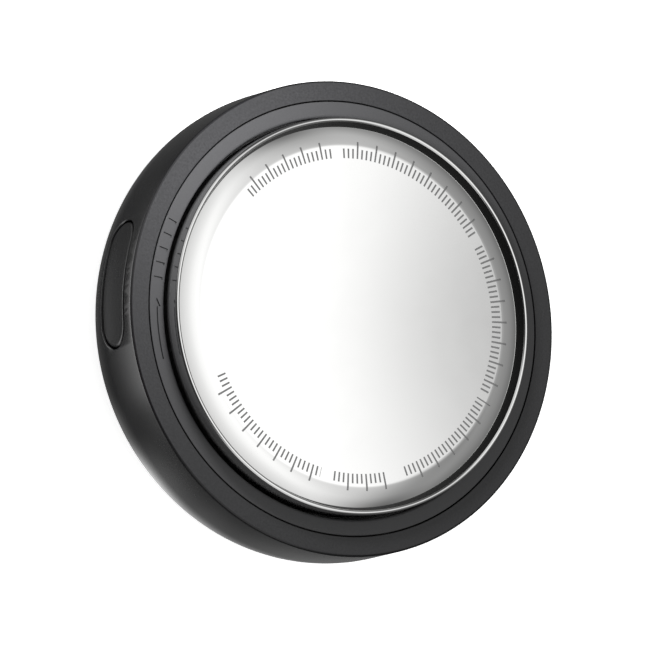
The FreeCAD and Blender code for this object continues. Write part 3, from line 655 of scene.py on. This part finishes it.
def pill_loft(name, straight, rings, curve, arc_steps=40, side_steps=24):
    """Lofts pills of one straight length along the wall's depth. A ring is (end radius, depth below the
    wall) or (end radius, None, radius about Z)."""
    around = 2 * (arc_steps + side_steps)
    deselect()
    bpy.ops.mesh.primitive_grid_add(x_subdivisions=around, y_subdivisions=len(rings) - 1, size=1.0)
    piece = bpy.context.object
    piece.name = piece.data.name = name
    for row, ring in enumerate(rings):
        points = pill_ring(straight, ring[0], arc_steps, side_steps)
        for column in range(around + 1):
            along, up = points[column % around]
            height = BUTTON_HEIGHT + up
            reach = ring[2] if ring[1] is None else wall_radius(height, curve)
            depth = 0.0 if ring[1] is None else ring[1]
            across = -math.sqrt(reach**2 - along**2) + depth
            piece.data.vertices[row * (around + 1) + column].co = (across, along, height)
    bpy.ops.object.mode_set(mode="EDIT")
    close_mesh()
    return piece


# ---------------------------------------------------------------- pieces
# Faces along the wall's curve; how far the tool for the key's opening goes in and out, and stands off.
WALL_STEPS = 28
MOUTH_IN = 2.6
MOUTH_OUT = 0.8
MOUTH_LIFT = 0.003
# Small corner where shell and frame meet, and the top skin that counts as the rim.
SEAM_ROUND = 0.05
RIM_SKIN = 0.02


class TAG_OT_front_shell(bpy.types.Operator):
    """Turn the front shell, open it for the key and round the opening"""

    bl_idname = "tag.front_shell"
    bl_label = "Front Shell"

    def execute(self, context):
        scene = context.scene
        sizes, detail = scene.tag_shell, scene.tag_detail
        curve = sizes.wall_curve
        flats = [Vector((TAG_RADIUS * share, 0.0)) for share in (0.0, 0.2, 0.4)]
        corners = [(0.0, 0.0, 0.0), (TAG_RADIUS, 0.0, curve), (TAG_RADIUS, RING_HEIGHT, 0.0)]
        outside = rounded(corners, WALL_STEPS)
        rim = rounded(
            [
                (TAG_RADIUS, curve, 0.0),
                (TAG_RADIUS, RING_HEIGHT, sizes.rim_round),
                (sizes.seam_radius, RING_HEIGHT, SEAM_ROUND * MM),
                (sizes.seam_radius, sizes.seat_height, 0.0),
                (sizes.seat_radius, sizes.seat_height, 0.0),
                (sizes.seat_radius, sizes.front_wall, sizes.inner_curve),
                (0.0, sizes.front_wall, 0.0),
            ],
            detail.fine,
        )
        shell = lathe("shell", flats + outside[1:-1] + rim[1:], detail.turns)
        straight = (sizes.opening_length - sizes.opening_width) / 2
        end = sizes.opening_width / 2
        soft = sizes.opening_round
        lift = MOUTH_LIFT * MM
        mouth = [(0.0, MOUTH_IN * MM), (end, MOUTH_IN * MM)]
        for step in range(detail.fine + 1):
            turn = math.pi / 2 * step / detail.fine
            mouth.append((end + soft * (1 - math.cos(turn)), soft * (1 - math.sin(turn)) - lift))
        mouth += [(end + soft, -MOUTH_OUT * MM), (0.0, -MOUTH_OUT * MM)]
        shape_with(shell, [pill_loft("mouth", straight, mouth, curve)], "DIFFERENCE")
        smooth(shell)
        wear(shell, shell_plastic(scene.tag_colours), eroded_plastic(scene.tag_colours))
        for face in shell.data.polygons:
            outer = Vector(face.center[:2]).length > sizes.seam_radius
            face.material_index = int(outer and face.center.z > RING_HEIGHT - RIM_SKIN * MM)
        stand_for(shell, "front_shell", "case")
        return {"FINISHED"}


# Soft top edges of the cell well.
WELL_ROUND = 0.1


def frame_outline(sizes):
    """The frame's section: rear ring, bayonet trough, cell well and floor."""
    trough = sizes.groove_floor - sizes.groove_web
    return [
        (0.0, sizes.floor_under, 0.0),
        (sizes.well_outer, sizes.floor_under, 0.0),
        (sizes.well_outer, trough, 0.0),
        (sizes.skirt_radius, trough, 0.0),
        (sizes.skirt_radius, sizes.foot_height, 0.0),
        (FRAME_RADIUS, sizes.foot_height, 0.0),
        (FRAME_RADIUS, RING_HEIGHT, SEAM_ROUND * MM),
        (sizes.bore_radius, RING_HEIGHT, sizes.lip_round),
        (sizes.bore_radius, sizes.shelf_height, 0.0),
        (sizes.ledge_radius, sizes.shelf_height, 0.0),
        (sizes.ledge_radius, sizes.groove_floor, 0.0),
        (sizes.well_outer, sizes.groove_floor, 0.0),
        (sizes.well_outer, FRAME_HIGH, WELL_ROUND * MM),
        (sizes.well_radius, FRAME_HIGH, WELL_ROUND * MM),
        (sizes.well_radius, sizes.well_floor, 0.0),
        (0.0, sizes.well_floor, 0.0),
    ]


# Bayonet: first lug, its arc with play, and the turn from closed to free, in degrees.
LUG_START = 100.0
LUG_ARC = 21.0
TWIST = 30.0
# Screws and contact slots, in degrees from +X, and the screws' circle.
SCREW_ANGLES = (90.0, 215.0, 303.0)
SCREW_CIRCLE = 8.6 * MM
SCREW_BORE = 0.6 * MM
SCREW_DEPTH = 6.1 * MM
BOSS_RADIUS = 1.4 * MM
BOSS_ROOT = 0.2 * MM
CONTACT_ANGLES = (-25.0, 35.0)
CONTACT_INNER = 9.75 * MM
CONTACT_HALF = 1.5 * MM
# Room behind the key: radii, heights, first angle and sweep.
ROOM_RADII = (13.78 * MM, 20.0 * MM)
ROOM_HEIGHTS = (6.0 * MM, 8.75 * MM)
ROOM_ARC = (155.5, 49.0)
# Arrow and bars on the rear ring: radii, then angles in degrees from +X.
ARROW_SHAFT = (14.0 * MM, 14.13 * MM)
ARROW_TIP, ARROW_OUTER, ARROW_INNER = 14.065 * MM, 14.34 * MM, 13.79 * MM
ARROW_HEAD = 186.0
ARROW_LEAD, ARROW_LAG = 1.9, 0.4
ARROW_SWEEP = 14.9
BAR_RADII = (13.76 * MM, 14.4 * MM)
BAR_START = 161.9
BAR_STEP = 4.1
BAR_SWEEP = 0.7
BAR_COUNT = 5
# How far a cutting tool reaches past the surface that it opens.
PAST = 0.5 * MM


def polar(radius, degrees):
    """X and Y of a place on a circle about the tag's axis."""
    return radius * math.cos(math.radians(degrees)), radius * math.sin(math.radians(degrees))


def bayonet_tools(sizes):
    """Grooves under the ledges and the gates that let the lugs in."""
    tools = []
    inner, outer = sizes.ledge_radius - 0.3 * MM, sizes.shelf_radius
    low, gate_low = sizes.groove_floor, sizes.groove_floor + 0.01 * MM
    for turn in LUG_TURNS:
        start = LUG_START + turn - LUG_ARC / 2
        tools.append(sector_tool(inner, outer, low, sizes.ledge_height, start, TWIST + LUG_ARC))
        tools.append(sector_tool(inner, outer, gate_low, sizes.shelf_height + PAST, start + TWIST, LUG_ARC))
    return tools


def room_tools(sizes):
    """Room for the key and switch, slots for the contacts, and the screw and tail holes."""
    tools = [sector_tool(*ROOM_RADII, *ROOM_HEIGHTS, *ROOM_ARC)]
    for angle in CONTACT_ANGLES:
        low = (CONTACT_INNER, -CONTACT_HALF, sizes.floor_under - PAST)
        high = (sizes.well_outer + 0.05 * MM, CONTACT_HALF, FRAME_HIGH + PAST)
        tools.append(block_tool(low, high, angle))
    tools.append(rod_tool(SCREW_BORE, sizes.floor_under - PAST, sizes.well_floor + PAST))
    for angle in SCREW_ANGLES:
        tools.append(rod_tool(SCREW_BORE, FRAME_LOW - PAST, SCREW_DEPTH, *polar(SCREW_CIRCLE, angle)))
    return tools


def mark_tools(sizes):
    """Twist arrow and five plain bars, sunk into the rear ring."""
    low, high = RING_HEIGHT - sizes.mark_depth, RING_HEIGHT + PAST
    tools = [sector_tool(*ARROW_SHAFT, low, high, ARROW_HEAD, ARROW_SWEEP)]
    for index in range(BAR_COUNT):
        tools.append(sector_tool(*BAR_RADII, low, high, BAR_START + BAR_STEP * index, BAR_SWEEP))
    deselect()
    bpy.ops.mesh.primitive_cylinder_add(vertices=3, radius=MM, depth=high - low)
    head = bpy.context.object
    back = ARROW_HEAD + ARROW_LAG
    corners = [(ARROW_TIP, ARROW_HEAD - ARROW_LEAD), (ARROW_OUTER, back), (ARROW_INNER, back)]
    for index, (radius, degrees) in enumerate(corners):
        for level, height in enumerate((low, high)):
            head.data.vertices[index * 2 + level].co = (*polar(radius, degrees), height)
    bpy.ops.object.mode_set(mode="EDIT")
    close_mesh()
    return tools + [head]


class TAG_OT_bay_frame(bpy.types.Operator):
    """Turn the battery-bay frame, cut its bayonet and slots, and sink the arrow into its ring"""

    bl_idname = "tag.bay_frame"
    bl_label = "Bay Frame"

    def execute(self, context):
        scene = context.scene
        sizes, detail = scene.tag_frame, scene.tag_detail
        body = lathe("bay", rounded(frame_outline(sizes), detail.fine), detail.turns)
        bosses = []
        for angle in SCREW_ANGLES:
            place = polar(SCREW_CIRCLE, angle)
            bosses.append(rod_tool(BOSS_RADIUS, FRAME_LOW, sizes.floor_under + BOSS_ROOT, *place))
        shape_with(body, bosses, "UNION")
        shape_with(body, bayonet_tools(sizes) + room_tools(sizes) + mark_tools(sizes), "DIFFERENCE")
        smooth(body)
        wear(body, ring_plastic(scene.tag_colours))
        stand_for(body, "bay_frame", "case")
        return {"FINISHED"}


# Faces along the cover's sloping band, the soft edge of its skirt, and how far its bends shift inside.
BAND_STEPS = 20
SKIRT_ROUND = 0.04
BEND_SHIFT = 0.06
BEND_DROP = 0.1


class TAG_OT_battery_cover(bpy.types.Operator):
    """Turn the mirror-polished steel cover with its raised rim"""

    bl_idname = "tag.battery_cover"
    bl_label = "Battery Cover"

    def execute(self, context):
        scene = context.scene
        sizes, detail = scene.tag_cover, scene.tag_detail
        crest = sizes.crest_round
        face = CREST_HEIGHT - sizes.face_drop
        crease = CREST_HEIGHT - sizes.crease_drop
        inside = COVER_RADIUS - sizes.sheet
        edge = SKIRT_ROUND * MM
        middle = Vector((COVER_RADIUS - crest, CREST_HEIGHT - crest))
        outline = [Vector((sizes.face_radius * share, face)) for share in (0.0, 0.3, 0.6, 0.85, 0.99)]
        start, end = Vector((sizes.face_radius, face)), Vector((sizes.crease_radius, crease))
        outline += [start] + bulge(start, end, sizes.band_curve, BAND_STEPS) + [end]
        reach = middle - end
        lean = math.atan2(reach.y, reach.x) + math.asin(crest / reach.length)
        first = math.pi / 2 + lean
        for step in range(2 * detail.fine + 1):
            turn = first * (1 - step / (2 * detail.fine))
            outline.append(middle + Vector((math.cos(turn), math.sin(turn))) * crest)
        outline += rounded(
            [
                (COVER_RADIUS, CREST_HEIGHT - crest, 0.0),
                (COVER_RADIUS, COVER_EDGE, edge),
                (inside, COVER_EDGE, edge),
                (inside, crease - sizes.sheet - BEND_DROP * MM, 0.0),
                (sizes.crease_radius - BEND_SHIFT * MM, crease - sizes.sheet, 0.0),
                (sizes.face_radius - BEND_SHIFT * MM, face - sizes.sheet, 0.0),
                (0.0, face - sizes.sheet, 0.0),
            ],
            3,
        )[1:]
        cover = lathe("cover", outline, detail.turns)
        smooth(cover, 25.0)
        wear(cover, mirror_steel(scene.tag_colours), painted_dark_reflection_steel(scene.tag_colours))
        # The steep inner slope of the raised rim takes the second slot, the painted dark reflection.
        foot, top = sizes.crease_radius - 0.01 * MM, COVER_RADIUS - crest
        for face in cover.data.polygons:
            steep = face.center.z > crease and abs(face.normal.z) < 0.5
            face.material_index = int(steep and foot < Vector(face.center[:2]).length < top)
        stand_for(cover, "battery_cover", "cover")
        return {"FINISHED"}


# Side wall of the key below its soft edge, and the steps across its dished face.
KEY_WALL = 0.3
DISH_STEPS = (0.97, 0.85, 0.7, 0.55, 0.4, 0.25, 0.12, 0.0)


class TAG_OT_side_key(bpy.types.Operator):
    """Loft the pill-shaped side key with its flange"""

    bl_idname = "tag.side_key"
    bl_label = "Side Key"

    def execute(self, context):
        scene = context.scene
        sizes, detail = scene.tag_key, scene.tag_detail
        straight = (sizes.key_length - sizes.key_width) / 2
        end = sizes.key_width / 2
        wide = end + sizes.flange_border
        soft = sizes.key_round
        rings = [
            (0.0, None, sizes.flange_back),
            (wide, None, sizes.flange_back),
            (wide, None, sizes.flange_front),
            (end, None, sizes.flange_front),
            (end, sizes.key_recess + soft + KEY_WALL * MM),
        ]
        for step in range(detail.fine + 1):
            turn = math.pi / 2 * step / detail.fine
            rings.append((end - soft * (1 - math.cos(turn)), sizes.key_recess + soft * (1 - math.sin(turn))))
        for share in DISH_STEPS:
            hollow = sizes.key_dish * (1 - share**2)
            rings.append(((end - soft) * share, sizes.key_recess + hollow))
        key = pill_loft("key", straight, rings, scene.tag_shell.wall_curve)
        smooth(key)
        wear(key, shell_plastic(scene.tag_colours))
        stand_for(key, "side_button", "button")
        return {"FINISHED"}


class TAG_OT_inner_finishes(bpy.types.Operator):
    """Give every inner piece its finish"""

    bl_idname = "tag.inner_finishes"
    bl_label = "Inner Finishes"

    def execute(self, context):
        for node, made in inner_finishes().items():
            wear(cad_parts[node], made)
        return {"FINISHED"}


# ---------------------------------------------------------------- studio
# Camera: where it stands, the width that it sees there, and how far it aims off the ring's middle.
CAMERA_AZIMUTH = 202.8
CAMERA_ELEVATION = 60.52
CAMERA_ROLL = 14.9
CAMERA_DISTANCE = 1000 * MM
VIEW_WIDTH = 42.99 * MM
SIDE_STEP = -1.402 * MM
UP_STEP = -0.279 * MM
SENSOR_WIDTH = 36.0


def direction(azimuth, elevation):
    """Unit vector towards a place at two angles in degrees."""
    a, e = math.radians(azimuth), math.radians(elevation)
    return Vector((math.cos(e) * math.cos(a), math.cos(e) * math.sin(a), math.sin(e)))


def place_camera():
    """Long lens above the steel side, rolled so that the cover's axis leans right."""
    back = direction(CAMERA_AZIMUTH, CAMERA_ELEVATION)
    axis = (Vector((0, 0, 1)) - back * back.z).normalized()
    across = back.cross(axis)
    roll = math.radians(CAMERA_ROLL)
    right = axis * math.cos(roll) - across * math.sin(roll)
    up = back.cross(right)
    aim = Vector((0, 0, RING_HEIGHT)) + right * SIDE_STEP + up * UP_STEP
    lens = bpy.data.cameras.new("camera")
    lens.sensor_width = SENSOR_WIDTH
    lens.lens = lens.sensor_width * CAMERA_DISTANCE / VIEW_WIDTH
    lens.clip_start, lens.clip_end = 0.01, 10.0
    camera = bpy.data.objects.new("camera", lens)
    bpy.context.scene.collection.objects.link(camera)
    turn = Matrix((right, up, back)).transposed().to_4x4()
    camera.matrix_world = Matrix.Translation(aim + back * CAMERA_DISTANCE) @ turn
    bpy.context.scene.camera = camera
    return right, up, back


# Softbox over the cover: degrees off its middle, and how bright it is there.
SOFTBOX_FALL = (
    (0.0, 1.25),
    (3.0, 1.18),
    (8.0, 0.8),
    (12.0, 0.6),
    (24.0, 0.45),
    (32.0, 0.27),
    (42.0, 0.11),
    (50.0, 0.02),
)
SOFTBOX_REACH = 60.0
# Panel overhead and card below: height across the room from the softbox's middle, and brightness there.
OVERHEAD_PANEL = (
    (-1.0, 0.0),
    (-0.8, 0.0),
    (-0.62, 0.1),
    (-0.2, 0.12),
    (-0.04, 0.0),
    (0.28, 0.66),
    (0.7, 0.66),
    (0.88, 0.0),
    (1.0, 0.0),
)
ROOM_GLOW = 0.004
# The softbox is dimmer on one side: width of the change at its middle, how much it widens with the angle
# off the middle, and the share of light left.
FEATHER_WIDTH = 0.0065
FEATHER_SPREAD = 0.8
FEATHER_DIM = 0.36


def light_world(right, back):
    """A softbox seen in the steel, feathered on one side, in an otherwise dim room. The camera itself sees
    a plain pale wall."""
    world = bpy.data.worlds.new("studio")
    bpy.context.scene.world = world
    world.use_nodes = True
    tree = world.node_tree
    tree.nodes.clear()
    toward = add_node(tree, "ShaderNodeTexCoord").outputs["Generated"]
    middle = Vector((-back.x, -back.y, back.z))
    mirrored = Vector((-right.x, -right.y, right.z))
    over = (Vector((0, 0, 1)) - middle * middle.z).normalized()
    facing, lateral, rise = (
        add_node(
            tree, "ShaderNodeVectorMath", {0: toward}, {1: tuple(way)}, operation="DOT_PRODUCT"
        ).outputs["Value"]
        for way in (middle, mirrored, over)
    )
    off = add_node(tree, "ShaderNodeMath", {0: facing}, operation="ARCCOSINE").outputs["Value"]
    share = add_node(
        tree, "ShaderNodeMapRange", {"Value": off}, {"From Max": math.radians(SOFTBOX_REACH)}
    )
    softbox = add_node(tree, "ShaderNodeValToRGB", {"Fac": share.outputs["Result"]})
    set_stops(softbox, [(degrees / SOFTBOX_REACH, bright) for degrees, bright in SOFTBOX_FALL])
    blur = add_node(
        tree, "ShaderNodeMath", {0: off}, {1: FEATHER_SPREAD, 2: FEATHER_WIDTH}, operation="MULTIPLY_ADD"
    )
    slant = add_node(tree, "ShaderNodeMath", {0: lateral, 1: blur.outputs["Value"]}, operation="DIVIDE")
    feather = add_node(
        tree,
        "ShaderNodeMapRange",
        {"Value": slant.outputs["Value"]},
        {"From Min": -1.0, "From Max": 0.0, "To Min": FEATHER_DIM},
        interpolation_type="SMOOTHSTEP",
    )
    span = add_node(tree, "ShaderNodeMapRange", {"Value": rise}, {"From Min": -1.0})
    panel = add_node(tree, "ShaderNodeValToRGB", {"Fac": span.outputs["Result"]})
    set_stops(panel, [((height + 1) / 2, bright) for height, bright in OVERHEAD_PANEL], "EASE")
    both = add_node(
        tree,
        "ShaderNodeMath",
        {0: softbox.outputs["Color"], 1: feather.outputs["Result"], 2: panel.outputs["Color"]},
        operation="MULTIPLY_ADD",
    )
    seen = add_node(tree, "ShaderNodeMath", {0: both.outputs["Value"]}, {1: ROOM_GLOW}).outputs["Value"]
    room = add_node(tree, "ShaderNodeBackground", {"Strength": seen}, {"Color": (1.0, 1.0, 1.0, 1.0)})
    wall = add_node(tree, "ShaderNodeBackground", values={"Color": (1.0, 1.0, 1.0, 1.0), "Strength": 1.0})
    ray = add_node(tree, "ShaderNodeLightPath").outputs["Is Camera Ray"]
    shown = add_node(tree, "ShaderNodeMixShader", {0: ray, 1: room.outputs[0], 2: wall.outputs[0]})
    add_node(tree, "ShaderNodeOutputWorld", {"Surface": shown.outputs[0]})


FLOOR_GLOW = 0.8
# Painted reflection on the floor: how brightly the floor glows for gloss and bounced light, by degrees
# anticlockwise from -X, in a ring outside the tag's foot and in a patch under it.
PAINTED_GLOW_OUTSIDE = (
    (0.0, 3.0),
    (25.0, 2.9),
    (37.0, 0.9),
    (52.0, 0.0),
    (150.0, 0.0),
    (315.0, 0.0),
    (330.0, 0.6),
    (360.0, 3.0),
)
PAINTED_GLOW_UNDER = (
    (0.0, 0.1),
    (25.0, 0.1),
    (38.0, 0.35),
    (53.0, 1.6),
    (67.0, 0.9),
    (82.0, 0.5),
    (150.0, 0.2),
    (210.0, 0.1),
    (320.0, 0.15),
    (360.0, 0.1),
)
# Middle of each painted glow's ring round the tag, and half its width where it starts and ends its fade.
OUTSIDE_REACH = (25.5, 3.0, 5.5)
UNDER_REACH = (0.0, 16.5, 20.5)
# Dim glow of the floor elsewhere, for gloss and bounced light: painted shade.
FLOOR_DIM = 0.05
FLOOR_DROP = 0.02
FLOOR_REACH = 0.8
# Wide light overhead: strength and angle. Soft lamp over the ring: watts, width, degrees from +X, distance
# from the tag's axis, and height over the ring.
OVERHEAD_ENERGY = 1.2
OVERHEAD_ANGLE = 90.0
SIDE_ENERGY = 0.028
SIDE_SIZE = 12.0
SIDE_AZIMUTH = 137.0
SIDE_OUT = 15.8
SIDE_HEIGHT = 20.0


def light_floor():
    """A wide soft light straight above that whitens the floor and stays out of the reflections."""
    lamp = bpy.data.lights.new("overhead", "SUN")
    lamp.energy = OVERHEAD_ENERGY
    lamp.angle = math.radians(OVERHEAD_ANGLE)
    over = bpy.data.objects.new("overhead", lamp)
    bpy.context.scene.collection.objects.link(over)
    over.visible_glossy = False


def light_side():
    """A small soft light over the upper left of the ring, which makes it brighter there."""
    lamp = bpy.data.lights.new("side_panel", "AREA")
    lamp.shape = "DISK"
    lamp.size = SIDE_SIZE * MM
    lamp.energy = SIDE_ENERGY
    panel = bpy.data.objects.new("side_panel", lamp)
    panel.location = (*polar(SIDE_OUT * MM, SIDE_AZIMUTH), RING_HEIGHT + SIDE_HEIGHT * MM)
    bpy.context.scene.collection.objects.link(panel)
    panel.visible_glossy = False
    panel.visible_camera = False


def painted_floor(colours):
    """Matte paint on board, for the camera: plain and pale, with the faintest clouding. Gloss and bounced
    light meet a painted glow there instead, bright in two rings and dim elsewhere: painted reflection and
    painted shade that keep the wall dark."""
    made, tree, place, surface = start_finish("painted_floor")
    cloud = add_node(tree, "ShaderNodeTexNoise", {"Vector": place}, {"Scale": 9.0, "Detail": 2.0})
    colour = add_node(tree, "ShaderNodeValToRGB", {"Fac": cloud.outputs["Fac"]})
    set_stops(colour, ((0.3, scaled(colours.floor, 0.99)), (0.7, scaled(colours.floor, 1.0))))
    tree.links.new(colour.outputs["Color"], surface.inputs["Base Color"])
    surface.inputs["Emission Color"].default_value = (1.0, 1.0, 1.0, 1.0)
    surface.inputs["Emission Strength"].default_value = FLOOR_GLOW
    surface.inputs["Roughness"].default_value = 0.8
    surface.inputs["Specular IOR Level"].default_value = 0.1
    distance, turn = polar_place(tree, place)
    glow = None
    for painted_glow_ring, (centre, full, gone) in ((PAINTED_GLOW_OUTSIDE, OUTSIDE_REACH), (PAINTED_GLOW_UNDER, UNDER_REACH)):
        ramp = add_node(tree, "ShaderNodeValToRGB", {"Fac": turn})
        set_stops(ramp, [(degrees / 360.0, bright) for degrees, bright in painted_glow_ring], "EASE")
        gap = add_node(tree, "ShaderNodeMath", {0: distance}, {1: centre * MM}, operation="SUBTRACT")
        width = add_node(tree, "ShaderNodeMath", {0: gap.outputs["Value"]}, operation="ABSOLUTE")
        across = add_node(
            tree,
            "ShaderNodeMapRange",
            {"Value": width.outputs["Value"]},
            {"From Min": full * MM, "From Max": gone * MM, "To Min": 1.0, "To Max": 0.0},
        )
        part = add_node(
            tree,
            "ShaderNodeMath",
            {0: ramp.outputs["Color"], 1: across.outputs["Result"]},
            {2: FLOOR_DIM},
            operation="MULTIPLY_ADD",
        )
        if glow is not None:
            tree.links.new(glow, part.inputs[2])
        glow = part.outputs["Value"]
    # Gloss and bounced light see the floor's painted glow; the camera sees the pale paint.
    ray = add_node(tree, "ShaderNodeLightPath").outputs["Is Camera Ray"]
    painted_glow_shader = add_node(tree, "ShaderNodeEmission", {"Strength": glow})
    output = next(n for n in tree.nodes if n.type == "OUTPUT_MATERIAL")
    shown = add_node(tree, "ShaderNodeMixShader", {0: ray, 1: painted_glow_shader.outputs[0], 2: surface.outputs[0]})
    tree.links.new(shown.outputs[0], output.inputs["Surface"])
    return made


def lay_floor(colours):
    """Plain pale floor of painted board."""
    deselect()
    bpy.ops.mesh.primitive_circle_add(vertices=96, radius=FLOOR_REACH, fill_type="NGON", location=(0, 0, 0))
    floor = bpy.context.object
    floor.name = "floor"
    floor.location.z = -FLOOR_DROP * MM
    wear(floor, painted_floor(colours))


class TAG_OT_studio(bpy.types.Operator):
    """Lay the floor and place the lights and the camera"""

    bl_idname = "tag.studio"
    bl_label = "Studio"

    def execute(self, context):
        context.scene.view_settings.view_transform = "Standard"
        right, up, back = place_camera()
        light_world(right, back)
        light_floor()
        light_side()
        lay_floor(context.scene.tag_colours)
        return {"FINISHED"}


# ---------------------------------------------------------------- sidebar
STEPS = ("studio", "front_shell", "bay_frame", "battery_cover", "side_key", "inner_finishes")


class TAG_PT_build(bpy.types.Panel):
    """Builds the tag step by step"""

    bl_idname = "TAG_PT_build"
    bl_label = "Tracker Tag"
    bl_space_type = "VIEW_3D"
    bl_region_type = "UI"
    bl_category = "Tracker Tag"

    def draw(self, context):
        for step in STEPS:
            self.layout.operator(f"tag.{step}")


GROUPS = {
    "tag_shell": TagShellSizes,
    "tag_frame": TagFrameSizes,
    "tag_cover": TagCoverSizes,
    "tag_key": TagKeySizes,
    "tag_colours": TagColours,
    "tag_detail": TagDetail,
}
CLASSES = (
    *GROUPS.values(),
    TAG_OT_front_shell,
    TAG_OT_bay_frame,
    TAG_OT_battery_cover,
    TAG_OT_side_key,
    TAG_OT_inner_finishes,
    TAG_OT_studio,
    TAG_PT_build,
)


def register():
    for made in CLASSES:
        bpy.utils.register_class(made)
    for name, kind in GROUPS.items():
        setattr(bpy.types.Scene, name, PointerProperty(type=kind))


def unregister():
    for name in GROUPS:
        delattr(bpy.types.Scene, name)
    for made in reversed(CLASSES):
        bpy.utils.unregister_class(made)


def main():
    register()
    for step in STEPS:
        getattr(bpy.ops.tag, step)()


if __name__ == "__main__":
    main()
